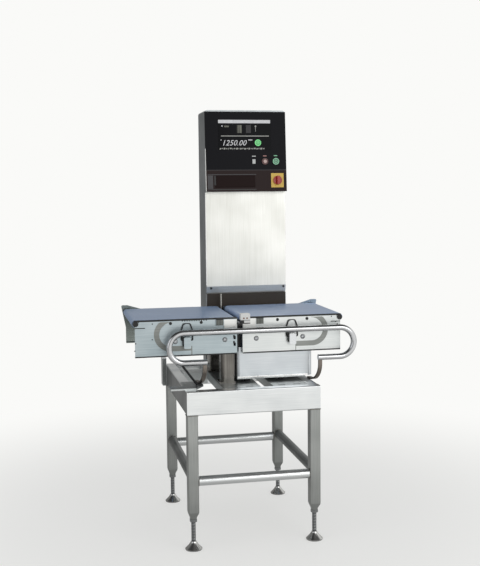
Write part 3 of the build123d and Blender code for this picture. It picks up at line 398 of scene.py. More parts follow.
def moulded(name, colour, dark, roughness, grain=900.0, relief=0.05, coat=0.0, specular=0.5):
    """Moulded plastic or rubber: even colour with a faint fine grain from the mould."""
    material, tree, shader, place = start_material(name, Coat_Weight=coat, Specular_IOR_Level=specular)
    pores = add_node(tree, "ShaderNodeTexNoise", {
        "Vector": place, "Scale": grain, "Detail": 3.0,
    }).outputs[0]
    patches = add_node(tree, "ShaderNodeTexNoise", {"Vector": place, "Scale": 14.0, "Detail": 2.0})
    lay_finish(tree, shader, patches.outputs[0], dark, colour,
               (pores, 0.0, 1.0, roughness - 0.06, roughness + 0.06), (pores, relief, 0.0003))
    return material


def thread_mesh(centre, low, high, radius, pitch, material):
    """A screw thread: a ridge that follows a helix."""
    tree, sockets, entry = start_tree(
        "Screw thread", Blank="Geometry", Radius="Float", Pitch="Float", Length="Float", Coat="Material")
    turns = add_node(tree, "ShaderNodeMath", {0: entry["Length"], 1: entry["Pitch"]}, operation="DIVIDE")
    ridge_radius = add_node(tree, "ShaderNodeMath", {
        0: entry["Pitch"], 1: 0.62,
    }, operation="MULTIPLY").outputs[0]
    mid_radius = add_node(tree, "ShaderNodeMath", {
        0: entry["Radius"], 1: ridge_radius,
    }, operation="SUBTRACT").outputs[0]
    helix = add_node(tree, "GeometryNodeCurveSpiral", {
        "Resolution": 24, "Rotations": turns.outputs[0], "Start Radius": mid_radius,
        "End Radius": mid_radius, "Height": entry["Length"],
    })
    ridge = add_node(tree, "GeometryNodeCurvePrimitiveCircle", {"Resolution": 4, "Radius": ridge_radius})
    sweep = add_node(tree, "GeometryNodeCurveToMesh", {
        "Curve": helix.outputs[0], "Profile Curve": ridge.outputs[0], "Fill Caps": True,
    })
    mesh = grow(tree, sockets, entry, sweep.outputs[0], [],
                Radius=radius, Pitch=pitch, Length=high - low, Coat=material)
    mesh.transform(Matrix.Translation(Vector(centre) + Vector((0, 0, low))))
    return mesh


def add_turned(bm, profile, centre, axis, steps=48):
    """A turned shape from (radius, distance along the axis) pairs."""
    along = Vector([float(i == axis) for i in range(3)])
    add_rings(bm, [ring(Vector(centre) + along * h, axis, r, steps) for r, h in profile])


def centre_of(node):
    """The middle of a CAD node's box."""
    low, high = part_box(node)
    return (low + high) / 2


foot_steel = polished_steel("spun foot steel", "#D6D6D4", 0.16)
screw_steel = polished_steel("rolled thread steel", "#97999A", 0.3)
sole_rubber = moulded("black sole rubber", "#2B2B2C", "#1B1B1C", 0.75)
pad_radius, neck_radius, cone_top = 30 * mm, 11 * mm, 29 * mm
screw_radius, core_radius, thread_pitch = 8 * mm, 7.1 * mm, 2 * mm
nut_radius, nut_height, nut_chamfer = 13.8 * mm, 11 * mm, 1.5 * mm
for spot in leg_places:
    body = "foot_" + spot
    centre = centre_of(body)
    centre.z = 0
    screw_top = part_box(body)[1].z
    bm = bmesh.new()
    add_turned(bm, [
        (pad_radius - 2 * mm, 1.6 * mm), (pad_radius - 0.4 * mm, 1.9 * mm), (pad_radius, 2.6 * mm),
        (pad_radius, 4 * mm), (pad_radius - 1 * mm, 5 * mm), (neck_radius + 8 * mm, 15 * mm),
        (neck_radius + 1 * mm, 25 * mm), (neck_radius, 27 * mm), (neck_radius - 0.8 * mm, cone_top),
        (neck_radius - 3 * mm, cone_top),
    ], centre, 2, 64)
    add_piece("foot_cone_" + spot, bm, body, foot_steel, [body])
    nut_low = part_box("leg_" + spot)[0].z - nut_height
    nut_high = nut_low + nut_height
    bm = bmesh.new()
    add_turned(bm, [
        (nut_radius - nut_chamfer, nut_low), (nut_radius, nut_low + 1 * mm),
        (nut_radius, nut_high - 1 * mm), (nut_radius - nut_chamfer, nut_high),
    ], centre, 2, 6)
    add_turned(bm, [
        (core_radius, cone_top - 2 * mm), (core_radius, screw_top - 1 * mm),
        (core_radius - 1 * mm, screw_top),
    ], centre, 2, 32)
    bm.from_mesh(
        thread_mesh(centre, cone_top + 2 * mm, nut_low, screw_radius, thread_pitch, screw_steel))
    add_piece("levelling_screw_" + spot, bm, body, screw_steel)
    bm = bmesh.new()
    add_turned(bm, [
        (pad_radius - 2.5 * mm, 0), (pad_radius - 1 * mm, 0.4 * mm), (pad_radius - 0.8 * mm, 2 * mm),
        (pad_radius - 3 * mm, 2.2 * mm),
    ], centre, 2, 64)
    add_piece("sole_" + spot, bm, body, sole_rubber)


# Guard rail. One length of polished stainless tube, bent to a long loop and closed at
# its two ends, on two bent flat bars and a thin black stay.

def start_curve(name, kind, radius, roundness, count):
    """A curve that is drawn as a round wire or tube, with the line that it follows."""
    curve = bpy.data.curves.new(name, "CURVE")
    curve.dimensions = "3D"
    curve.bevel_depth = radius
    curve.bevel_resolution = roundness
    curve.use_fill_caps = kind == "BEZIER"
    line = curve.splines.new(kind)
    (line.bezier_points if kind == "BEZIER" else line.points).add(count - 1)
    return curve, line


rail_steel = polished_steel("polished guard tube", "#CDCED0", 0.12)
guard_low, guard_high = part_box("guard_tube")
guard_radius = (guard_high.y - guard_low.y) / 2
bend = (guard_high.z - guard_low.z) / 2 - guard_radius
guard_y = (guard_low.y + guard_high.y) / 2
top_z, bottom_z = guard_high.z - guard_radius, guard_low.z + guard_radius
mid_z = (top_z + bottom_z) / 2
left_bend, right_bend = guard_low.x + guard_radius + bend, guard_high.x - guard_radius - bend
left_end = centre_of("guard_strap_left").x + 16.5 * mm
right_end = centre_of("guard_strap_right").x + 0.5 * mm
straight, pull = 20 * mm, bend * 0.5523  # handles of a straight run and of a quarter circle
knots = [
    ((left_end, bottom_z), (straight, 0), (-straight, 0)),
    ((left_bend, bottom_z), (straight, 0), (-pull, 0)),
    ((left_bend - bend, mid_z), (0, -pull), (0, pull)),
    ((left_bend, top_z), (-pull, 0), (straight, 0)),
    ((right_bend, top_z), (-straight, 0), (pull, 0)),
    ((right_bend + bend, mid_z), (0, pull), (0, -pull)),
    ((right_bend, bottom_z), (pull, 0), (-straight, 0)),
    ((right_end, bottom_z), (straight, 0), (-straight, 0)),
]
rail, line = start_curve("guard_rail", "BEZIER", guard_radius, 8, len(knots))
line.resolution_u = 16
for point, ((x, z), before, after) in zip(line.bezier_points, knots):
    point.co = (x, guard_y, z)
    point.handle_left_type = point.handle_right_type = "FREE"
    point.handle_left = (x + before[0], guard_y, z + before[1])
    point.handle_right = (x + after[0], guard_y, z + after[1])
bm = merged(settled_mesh(bpy.data.objects.new("guard_rail", rail)))
add_piece("guard_rail_tube", bm, "machine", rail_steel, ["guard_tube"])
dress(polished_steel("polished flat bar", "#7E766F", 0.3), "guard_strap_left", "guard_strap_right")
black_rod = moulded("black coated rod", "#17171A", "#0E0E10", 0.35, 500.0)
dress(black_rod, "guard_stay")


# Weighing unit. A spot-welded sheet housing over a base plate on four rubber feet, with
# the load cell and the post of the weigh conveyor inside. Brushed along X.

def machined_aluminium(name, light, dark, roughness):
    """Aluminium or steel milled or turned and left bare: pale, with fine tool marks."""
    material, tree, shader, place = start_material(name, Metallic=1.0, Roughness=roughness)
    marks = add_node(tree, "ShaderNodeTexWave", {
        "Vector": place, "Scale": 400.0, "Distortion": 3.0, "Detail": 2.0,
    }, wave_type="BANDS", bands_direction="X").outputs["Fac"]
    lay_finish(tree, shader, marks, dark, light, None, (marks, 0.08, 0.0002))
    return material


dress(brushed_stainless("brushed housing sheet", "#DCE0E3", "#C3C9CE", 0), "housing_shell")
dress(member_sheet, "housing_base", "weigh_platform")
housing_low, housing_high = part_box("housing_shell")
# A lip along the housing's lower edge in a near-white polished tone: painted highlight.
add_blocks("housing_lip", [
    ((housing_low.x + 4 * mm, housing_low.y - 1.2 * mm, housing_low.z),
     (housing_high.x - 16 * mm, housing_low.y + 0.4 * mm, housing_low.z + 6 * mm), 0.55 * mm),
], polished_steel("polished housing lip", "#F0F0EF", 0.22))
unit_rubber = moulded("black foot rubber", "#222223", "#151516", 0.8)
dress(unit_rubber, "rubber_feet")
bare_aluminium = machined_aluminium("milled aluminium", "#D5D6D8", "#BFC0C2", 0.32)
dress(bare_aluminium, "load_cell")

# Column of the infeed conveyor. Satin square tubes with an arm and a carrier, welded
# into one support that is bolted on the middle cross member.
# The column's dark warm brown-grey tone is painted shade.
dress(brushed_stainless("satin column tube", "#97948F", "#4E4A46", 2, 0.2, 240.0), "infeed_support")

# Conveyor rollers. Turned steel with a chamfer at each end, in bearings pressed into the
# side plates. The driven one carries a toothed pulley outside the rear plate.
modules = ("infeed", "weigh")
roller_steel = machined_aluminium("turned roller steel", "#C2C3C5", "#A2A3A6", 0.28)
cap_plastic = moulded("black bearing cap", "#131314", "#09090A", 0.4, 700.0)
journal_radius, roller_face, pulley_radius, teeth = 4 * mm, 340 * mm, 9.5 * mm, 24
for module in modules:
    for kind in ("drive_roller", "idler_roller"):
        node = f"{module}_{kind}"
        low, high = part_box(node)
        centre = centre_of(node)
        centre.y = 0
        radius = (high.z - low.z) / 2
        front = low.y + 8 * mm
        rear = front + roller_face
        profile = [
            (3.2 * mm, low.y), (journal_radius, low.y + 0.8 * mm), (journal_radius, front - 0.01 * mm),
            (radius - 1 * mm, front), (radius - 0.2 * mm, front + 1 * mm), (radius, (front + rear) / 2),
            (radius - 0.2 * mm, rear - 1 * mm), (radius - 1 * mm, rear),
            (journal_radius, rear + 0.01 * mm), (journal_radius, high.y - 0.8 * mm), (3.2 * mm, high.y),
        ]
        bm = bmesh.new()
        add_turned(bm, profile, centre, 1)
        if kind == "drive_roller":
            rows = []
            for y in (rear + 4.2 * mm, rear + 13.8 * mm):
                middle = centre + Vector((0, y, 0))
                rows.append([middle + (point - middle) * (1.0 if i % 4 < 2 else 0.92)
                             for i, point in enumerate(ring(middle, 1, pulley_radius, 4 * teeth))])
            add_rings(bm, rows)
        add_piece(node + "_turned", bm, node, roller_steel, [node])
    dress(cap_plastic, module + "_bearings")


# Belts. Smooth blue-grey polyurethane on a woven carcass, welded endless and run over
# the folded bed and both rollers.

def belt_cover(name, colour, dark):
    """Smooth polyurethane belt: satin, with the faint weave of its carcass showing."""
    material, tree, shader, place = start_material(name, Coat_Weight=0.25, Coat_Roughness=0.3)
    warp, weft = (add_node(tree, "ShaderNodeTexWave", {"Vector": place, "Scale": 180.0},
                           wave_type="BANDS", bands_direction=way) for way in "XY")
    weave = add_node(tree, "ShaderNodeMath", {
        0: warp.outputs["Fac"], 1: weft.outputs["Fac"],
    }, operation="MULTIPLY")
    wear = add_node(tree, "ShaderNodeMapping", {"Vector": place, "Scale": (2.0, 26.0, 2.0)})
    rub = add_node(tree, "ShaderNodeTexNoise", {
        "Vector": wear.outputs[0], "Scale": 1.0, "Detail": 3.0,
    }).outputs[0]
    lay_finish(tree, shader, rub, dark, colour, (rub, 0.0, 1.0, 0.42, 0.3),
               (weave.outputs[0], 0.05, 0.0002))
    return material


def add_loop(bm, x0, x1, z, radius, thickness, y0, y1, steps=28):
    """A flat belt round two equal rollers, closed, with slightly rounded edges."""
    turns = [math.pi * i / steps for i in range(steps + 1)]
    ease, outside = thickness * 0.25, radius + thickness
    strips = [(radius, y0 + ease), (radius + ease, y0), (outside - ease, y0), (outside, y0 + ease),
              (outside, y1 - ease), (outside - ease, y1), (radius + ease, y1), (radius, y1 - ease)]
    add_rings(bm, [
        [(x1 + r * math.sin(turn), y, z + r * math.cos(turn)) for turn in turns]
        + [(x0 - r * math.sin(turn), y, z - r * math.cos(turn)) for turn in turns]
        for r, y in strips
    ], joined=True)


# The two belts are one cover in two copies: the infeed's darker tone is painted shade, the weigh belt's
# lighter tone painted light.
belt_skins = {
    "infeed": belt_cover("blue grey infeed belt", "#8AA2C3", "#768FB1"),
    "weigh": belt_cover("blue grey weigh belt", "#A6BAD8", "#8FA6C8"),
}
belt_thickness = 1.5 * mm
for module in modules:
    dress(member_sheet, module + "_slider_bed")
    low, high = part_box(module + "_belt")
    ends = sorted(centre_of(f"{module}_{kind}").x for kind in ("drive_roller", "idler_roller"))
    bm = bmesh.new()
    add_loop(bm, ends[0], ends[1], (low.z + high.z) / 2, (high.z - low.z) / 2 - belt_thickness,
             belt_thickness, low.y, high.y)
    add_piece(module + "_belt_loop", bm, "machine", belt_skins[module],
              [module + "_belt"])

# Motors. Each is an enamelled can with cooling ribs and a closed fan cover on a grey
# gearbox, and drives its roller by a toothed belt over an aluminium pulley.
motor_paint = moulded("grey motor enamel", "#6E7378", "#5A5F64", 0.45, 300.0, 0.15)
drive_rubber = moulded("black drive belt", "#1C1C1E", "#121213", 0.7)
for module in modules:
    dress(bare_aluminium, module + "_motor_pulley")
    dress(drive_rubber, module + "_timing_belt")
    low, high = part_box(module + "_motor")
    x = (low.x + high.x) / 2
    axis_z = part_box(module + "_motor_pulley")[0].z + pulley_radius
    gearbox_front = high.y - 34 * mm
    can = (high.x - low.x) / 2 - 0.5 * mm
    box_half = 23 * mm
    bm = bmesh.new()
    add_turned(bm, [
        (can - 4 * mm, low.y + 0.2 * mm), (can - 1 * mm, low.y + 1.5 * mm), (can, low.y + 5 * mm),
        (can, low.y + 16 * mm), (can - 1.5 * mm, low.y + 16.5 * mm), (can - 1.5 * mm, low.y + 19 * mm),
        (can - 2.6 * mm, low.y + 19.5 * mm), (can - 2.6 * mm, gearbox_front - 4 * mm),
        (can - 1 * mm, gearbox_front - 3.5 * mm), (can - 1 * mm, gearbox_front + 1 * mm),
    ], (x, 0, axis_z), 1, 56)
    add_block(bm, (x - box_half, gearbox_front, axis_z - box_half),
              (x + box_half, high.y, axis_z + box_half), 2.5 * mm, 3)
    add_block(bm, (x - box_half, low.y + 6 * mm, low.z),
              (x + box_half, high.y - 1 * mm, axis_z - 15 * mm), 2 * mm, 3)
    add_block(bm, (x - 11 * mm, low.y + 60 * mm, axis_z + can - 13 * mm),
              (x + 11 * mm, low.y + 90 * mm, axis_z + can - 0.4 * mm), 1.5 * mm, 3)
    add_piece(module + "_gear_motor", bm, "machine", motor_paint, [module + "_motor"])
    rib = bmesh.new()
    add_turned(rib, [(can - 2.8 * mm, 0), (can - 0.3 * mm, 0.3 * mm), (can - 0.3 * mm, 1.1 * mm),
                     (can - 2.8 * mm, 1.4 * mm)], (0, 0, 0), 1)
    rib_ys = [low.y + (23 + 4.5 * i) * mm for i in range(8)]
    rib_ys += [low.y + (94 + 4 * i) * mm for i in range(3)]
    ribs = set_out(module + "_ribs", [(x, y, axis_z) for y in rib_ys if y < gearbox_front - 6 * mm],
                   pattern("motor_rib", rib), (1, 1, 1), motor_paint)
    add_piece(module + "_motor_ribs", ribs, "machine", motor_paint)


# Latches. A black wire bail over a keeper, pulled down by a pressed lever on its pin. It
# holds the belt module on its carrier without tools.

def eased_copy(node, width):
    """A copy of a CAD node with its sharp edges eased, as a pressed part's are."""
    bm = merged_copy(node)
    sharp = [e for e in bm.edges if len(e.link_faces) == 2 and e.calc_face_angle(0) > math.radians(50)]
    bmesh.ops.bevel(bm, geom=sharp, offset=width, segments=2, affect="EDGES", profile=0.5,
                    clamp_overlap=True)
    return bm


# One stainless in two copies: the infeed plates darker, painted shade; the weigh plates near white,
# painted light.
plate_sheets = {
    "infeed": brushed_stainless("brushed infeed plate", "#C3CDD1", "#A6B3B8", 0, 0.36),
    "weigh": brushed_stainless("brushed weigh plate", "#E6E8E7", "#CFD4D4", 0, 0.36),
}
latch_black = moulded("black latch wire", "#121214", "#08080A", 0.35, 600.0)
# The infeed lever takes the infeed plate's shaded copy.
lever_sheets = {
    "infeed": plate_sheets["infeed"],
    "weigh": brushed_stainless("pressed latch steel", "#E4E6E8", "#CDD0D3", 2, 0.3),
}
plate_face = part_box("weigh_front_plate")[1].y - 15 * mm
wire, bail_lean, bail_corner = 2.2 * mm, 4 * mm, 4 * mm
half_low, half_high = 20 * mm, 12 * mm
bail_outline = [(-half_low, 0), (-half_low, 0.6), (-half_high, 1.0), (half_high, 1.0), (half_low, 0.6),
                (half_low, 0)]
for module in modules:
    lever = module + "_latch_lever"
    lever_body = module + "_lever"
    add_piece(lever_body, eased_copy(lever, 0.5 * mm), lever_body,
              lever_sheets[module], [lever])
    low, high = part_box(lever)
    # A black tang along the lever's side: painted shade of its side face.
    edge_outline = [(plate_face - out * mm, z * mm)
                    for out, z in ((5.5, 739), (12, 739), (13, 705), (8, 705))]
    bm = bmesh.new()
    add_rings(bm, [[(low.x - w * mm, y, z) for y, z in edge_outline] for w in (0.2, 4.2)])
    add_piece(module + "_lever_edge", bm, lever_body, latch_black)
    low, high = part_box(module + "_latch_bail")
    rise = high.z - low.z - 2 * wire
    foot = Vector(((low.x + high.x) / 2, low.y + wire, low.z + 1.5 * mm))
    spots = [foot + Vector((x, bail_lean * share, rise * share)) for x, share in bail_outline]
    path = []
    for i, spot in enumerate(spots):
        before, after = ((spots[j % len(spots)] - spot).normalized() for j in (i - 1, i + 1))
        for share in (0.0, 0.25, 0.5, 0.75, 1.0):
            a, b = spot + before * bail_corner * (1 - share), spot + after * bail_corner * share
            path.append(a.lerp(b, share))
    bow, line = start_curve("bail", "POLY", wire, 4, len(path))
    line.use_cyclic_u = True
    for point, place in zip(line.points, path):
        point.co = (*place, 1)
    bm = merged(settled_mesh(bpy.data.objects.new("bail", bow)))
    add_piece(module + "_bail_wire", bm, module + "_bail", latch_black,
              [module + "_latch_bail"], crease=60)


# Side plates. Laser-cut and folded stainless, screwed to the bed. The rear plates stand
# up in an ear; the front ones carry the screws, the plugs and a pressed line. The infeed
# mirrors the weigh conveyor: s is the distance from the gap between them, in millimetres.

def socket_head(name, count=24):
    """A cap screw head of unit radius and unit height along +Z, with its hexagon socket."""
    turns = [2 * math.pi * i / count for i in range(count)]
    rows = [[(r * math.cos(turn), r * math.sin(turn), h) for turn in turns]
            for r, h in ((1.0, 0.0), (1.0, 0.85), (0.88, 1.0))]
    for h in (0.95, 0.35):
        reaches = [0.55 * math.cos(math.pi / 6) / math.cos(turn % (math.pi / 3) - math.pi / 6)
                   for turn in turns]
        rows.append([(reach * math.cos(turn), reach * math.sin(turn), h)
                     for reach, turn in zip(reaches, turns)])
    bm = bmesh.new()
    add_rings(bm, rows)
    return pattern(name, bm)


def turned_head(name, profile, steps=20):
    """A plain turned head of unit radius and unit height along +Z."""
    bm = bmesh.new()
    add_turned(bm, profile, (0, 0, 0), 2, steps)
    return pattern(name, bm)


cap_screw = socket_head("cap_screw")
plain_head = turned_head("plain_head", [(1.0, 0.0), (1.0, 0.7), (0.9, 0.95), (0.75, 1.0)])
dished_head = turned_head("dished_head", [
    (1.0, 0.0), (1.0, 0.5), (0.9, 0.95), (0.78, 1.0), (0.5, 0.3), (0.28, 0.25)], 28)
facing_front, facing_back = (math.pi / 2, 0, 0), (-math.pi / 2, 0, 0)


def screw_row(name, points, radius, height, turn, material, part=cap_screw):
    """One piece of like screw heads or plugs, each standing on its point."""
    heads = set_out(name, points, part, (radius, radius, height), material, turn)
    add_piece(name, heads, "machine", material)


def on_plate(side, s, z, out=0.0):
    """The point of a front plate at a distance from the gap and a height, and so far in
    front of its face."""
    return (gap_x + side * s * mm, plate_face - out * mm, z * mm)


def plate_blocks(name, side, slot, material, *blocks):
    """A piece of rounded blocks on a front plate: where each starts and ends along and
    up the plate, how far out its front and back are, and its edge radius."""
    corners = []
    for s0, s1, z0, z1, front, back, radius in blocks:
        ends = sorted(gap_x + side * s * mm for s in (s0, s1))
        corners.append(((ends[0], plate_face - front * mm, z0 * mm),
                        (ends[1], plate_face - back * mm, z1 * mm), radius * mm))
    add_blocks(name, corners, material)


gap_x = (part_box("infeed_front_plate")[1].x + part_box("weigh_front_plate")[0].x) / 2
# The rear plates are darker copies of the plate stainless, painted shade; the weigh copy is tinted
# blue-grey as a painted reflection of its belt.
ear_sheets = {
    "infeed": brushed_stainless("brushed infeed rear plate", "#959C98", "#7B827E", 0, 0.3),
    "weigh": brushed_stainless("brushed weigh rear plate", "#8C9BAA", "#73849A", 0, 0.3),
}
screw_bright = polished_steel("plated screw steel", "#B7B9BC", 0.25)
screw_dark = polished_steel("dark screw steel", "#4C4C4E", 0.35)
# A darker copy of the plate steel for the pressed line: painted shade.
pressed_steel = brushed_stainless("pressed dark line", "#9B9D9A", "#7D807D", 0, 0.42)
grip_dark = moulded("dark clamp plastic", "#4A4D48", "#3A3C38", 0.5, 600.0)
grip_pale = moulded("pale clamp ribs", "#8A8E88", "#767A74", 0.45, 600.0)
bright_sheet = brushed_stainless("bright wear sheet", "#EEEFED", "#DDDEDB", 2, 0.36)
bow_s, bow_z, bow_radius, run_z = 262, 746, 50, 696
bow_outer, bow_inner, tip_thinning = 59.2, 40.8, 3.0
bow_shifts = {"infeed": -15.5, "weigh": 4.0}
line_widening = 1.4
line_ends = {
    "infeed": [([(206, 695.5), (190, 695.5), (172, 695.5)], 8.4, 0.15),
               ([(173, 703), (173, 688), (173, 671)], 1.6, 0.25)],
    "weigh": [([(205, 695), (205, 682), (205, 671)], 1.4, -0.35)],
}
first_screws = {"infeed": 54, "weigh": 60}
rivet_spots = {
    "infeed": [(310.7, 786), (311.7, 731), (369.7, 719), (373, 693)]
              + [(120 + 8.5 * i, 793) for i in range(11)],
    "weigh": [(338.6, 790), (354.1, 771), (361, 762)],
}
clamp_rib = bmesh.new()
add_block(clamp_rib, (-1, -0.5, -1), (1, 0.5, 1), 0.18, 1)
rib_part = pattern("clamp_rib", clamp_rib)
for module, side in (("infeed", -1), ("weigh", 1)):
    dress(ear_sheets[module], module + "_rear_plate")
    shift = bow_shifts[module]

    # The pressed line's flanks are drawn out to the width of the real bead, and its bow
    # on the infeed is nearer the middle
    bm = merged_copy(module + "_front_plate")
    for vert in bm.verts:
        s, z = (vert.co.x - gap_x) * side / mm, vert.co.z / mm
        if not plate_face - 0.1 * mm <= vert.co.y <= plate_face + 1.3 * mm:
            continue
        from_bow = math.hypot(s - bow_s, z - bow_z)
        if s > bow_s - 0.1 and abs(from_bow - bow_radius) < 8:
            wider = (bow_radius + (from_bow - bow_radius) * line_widening) / from_bow
            vert.co.x = gap_x + side * (bow_s + (s - bow_s) * wider + shift) * mm
            vert.co.z = min(bow_z + (z - bow_z) * wider, 790) * mm
        elif s > 202 and abs(z - run_z) < 7.2:
            vert.co.z = (run_z + (z - run_z) * line_widening) * mm
    add_piece(module + "_front_sheet", bm, "machine", plate_sheets[module],
              [module + "_front_plate"], crease=20)

    # Bed screws with their washers, plugs and small rivets; then the rear plate's screws
    bed_spots = [(s, 721) for s in (first_screws[module], 231)]
    for name, spots, radius, height, slot, material, head in (
            ("bed_screws", bed_spots, 7.4, 3, "roller_steel", screw_bright, dished_head),
            ("bed_washers", bed_spots, 8.8, 0.7, "roller_steel", screw_dark, plain_head),
            ("plugs", [(s, 785.5, -1.0) for s in (138, 247)], 5.6, 1.8,
             "black_plastic", cap_plastic, plain_head),
            ("small_rivets", [(s, z, -0.5) for s, z in rivet_spots[module]], 2.2, 0.9,
             "black_plastic", cap_plastic, plain_head)):
        screw_row(f"{module}_{name}", [on_plate(side, *spot) for spot in spots], radius * mm,
                  height * mm, facing_front, material, head)
    rear_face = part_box(module + "_rear_plate")[1].y
    bed_backs = [(gap_x + side * s * mm, rear_face, z * mm) for s in (60, 231) for z in (721, 772)]
    screw_row(module + "_bed_screws_rear", bed_backs, 6 * mm, 3 * mm, facing_back,
              screw_bright)

    # Pressed line: the bow and the level run, in a darker copy of the plate steel: painted shade of the
    # groove
    bow = [(bow_s + shift + bow_radius * math.cos(turn), bow_z + bow_radius * math.sin(turn))
           for turn in (math.radians(a) for a in range(58, -91, -4))]
    bm = bmesh.new()
    runs = [(bow + [(240, run_z), (222, run_z), (205, run_z)], 9.2, -0.35)] + line_ends[module]
    for line, half, out in runs:
        rows = []
        for i, (s, z) in enumerate(line):
            before, after = line[max(i - 1, 0)], line[min(i + 1, len(line) - 1)]
            run = Vector((after[0] - before[0], after[1] - before[1])).normalized()
            rows.append([on_plate(side, s - run.y * w, z + run.x * w, d)
                         for w, d in ((half, out), (-half, out), (-half, -1.1), (half, -1.1))])
        add_rings(bm, rows)

    # The bow runs on below the belt and thins out there
    tips = []
    for a in range(94, 49, -4):
        turn = math.radians(a)
        inner_radius = bow_inner + tip_thinning * (a - 50) / 44
        outer, inner = ((bow_s + shift + r * math.cos(turn), min(bow_z + r * math.sin(turn), limit))
                        for r, limit in ((bow_outer, 791), (inner_radius, 790.2)))
        tips.append([on_plate(side, *tip, out)
                     for tip, out in ((outer, 0.2), (inner, 0.2), (inner, -0.6), (outer, -0.6))])
    add_rings(bm, tips)
    add_piece(module + "_pressed_line", bm, "machine", pressed_steel)

    # Black strips of painted shade: the shadow gap along the belt's edge, the shadow line
    # below the plate and the dark slit of the nose; and the folded lip behind them
    plate_blocks(module + "_edge_strips", side, "black_rubber", cap_plastic,
                 (84, 374, 793.8, 799.7, 0.9, -5.3, 0.7), (10.5, 60, 794.2, 799.7, 4.2, -5.3, 0.7),
                 (58, 87, 793.6, 799.7, 6.3, -5.3, 0.7), (11, 371.5, 668.1, 672.6, 0.8, -1, 0.4),
                 (336.4, 371.8, 770.4, 773.6, 0.3, -2.6, 0.3))
    plate_blocks(module + "_plate_lip", side, "brushed_sheet", plate_sheets[module],
                 (60, 358, 789.4, 794.1, -0.1, -4.5, 0.4))

    # Wear plate over the inner bearing, and the ribbed grip of the clamp beside it
    plate_blocks(module + "_wear_plate", side, "brushed_sheet", bright_sheet,
                 (11, 57, 763, 792.8, 3.8, 2.8, 0.35))
    # The grip's plate under the ribs is the clamp's body, its dark tone painted shade in the grooves
    # between the ribs.
    plate_blocks(module + "_clamp_grip", side, "grey_plastic", grip_dark,
                 (59.4, 85.6, 773.3, 793.5, 5.5, 4.8, 0.2))
    spots = [on_plate(side, 62.2 + 5.15 * i, 783.2, 5.6) for i in range(5)]
    ribs = set_out(module + "_clamp_ribs", spots, rib_part, (1.5 * mm, 1.4 * mm, 8.8 * mm), grip_pale)
    add_piece(module + "_clamp_ribs", ribs, "machine", grip_pale)

# Hook slots at the inner end of the infeed's front plate, drawn as black blocks: painted shade in the
# openings
plate_blocks("infeed_hook_slots", -1, "black_plastic", cap_plastic,
             *((18.1, 24.5, z - 5, z + 5, 0.3, -1, 0.3) for z in (710, 731)))

# Product sensor. A black folded bracket between the conveyors carries a pale light
# barrier; a slim rod behind the belt carries its reflector.
# The bracket stands in the gap between the conveyors; its black also stands for the shade of that gap,
# painted shade.
dress(black_rod, "sensor_bracket")
dress(moulded("pale sensor plastic", "#E4E4E1", "#D6D6D3", 0.4, 500.0), "sensor_head")
amber_lens = moulded("amber lens plastic", "#8C5A35", "#5E3A22", 0.15, 500.0, 0.0, 0.4)
low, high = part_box("sensor_head")
screw_row("sensor_lenses", [(x * mm, low.y + 1.2 * mm, 797.5 * mm) for x in (-4.8, 6.8)], 2.9 * mm,
          1.4 * mm, facing_front, amber_lens, plain_head)
# A black clamp at the head's left end, and a thin black line under the rest of the head: painted shadow
# below its lower edge.
add_blocks("sensor_clamp", [
    ((low.x - 0.6 * mm, low.y - 0.8 * mm, low.z - 1 * mm),
     (low.x + 12 * mm, high.y + 0.6 * mm, low.z + 10 * mm), 0.8 * mm),
    ((low.x + 11 * mm, low.y - 0.4 * mm, low.z + 8.6 * mm),
     (high.x + 0.3 * mm, low.y + 2 * mm, low.z + 10 * mm), 0.3 * mm),
], cap_plastic)
dress(polished_steel("slim post steel", "#C8C4BA", 0.3), "reflector_post")

# Cabinet. Folded and welded sheet with rounded rear and top edges, brushed upright, on
# a shallower foot. The front cover is a screwed sheet with a bent lower lip. Shell and cover
# are one stainless in two copies: the cover near white, painted light; the shell darker, painted shade.
cabinet_sheet = brushed_stainless("brushed cabinet sheet", "#B6BABC", "#979C9F", 2, 0.4)
dress(cabinet_sheet, "cabinet_shell", "control_panel", "cabinet_plinth")
dress(brushed_stainless("bright cover sheet", "#EAEAE6", "#DBDBD5", 2, 0.45), "front_cover")
dress(motor_paint, "electronics")
edge_bright = polished_steel("polished cover edge", "#FAFAF8", 0.45)
cover_low, cover_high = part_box("front_cover")
shell_low, shell_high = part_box("cabinet_shell")
# A near-white polished strip down the cover's left edge: painted highlight.
add_blocks("cover_edge_strip", [
    ((shell_low.x - 0.9 * mm, cover_low.y - 0.5 * mm, 880 * mm),
     (shell_low.x + 2.2 * mm, cover_low.y + 3 * mm, 1240 * mm), 1.3 * mm),
], edge_bright, segments=3)
spots = [(x, cover_low.y, 867 * mm) for x in (cover_low.x + 18 * mm, cover_high.x - 10 * mm)]
screw_row("cover_screws", spots, 4.5 * mm, 2 * mm, facing_front, screw_dark)

# Painted shade of the recess below the cover: a dark brown sheet on the shell's front, where the recess
# lies in shadow
add_blocks("recess_lining", [
    ((shell_low.x + 1.5 * mm, shell_low.y - 1 * mm, shell_low.z + 2 * mm),
     (shell_high.x - 1.5 * mm, shell_low.y + 0.2 * mm, cover_low.z + 3 * mm), 0.4 * mm),
], moulded("dark brown lining sheet", "#33291F", "#221A13", 0.55, 500.0))

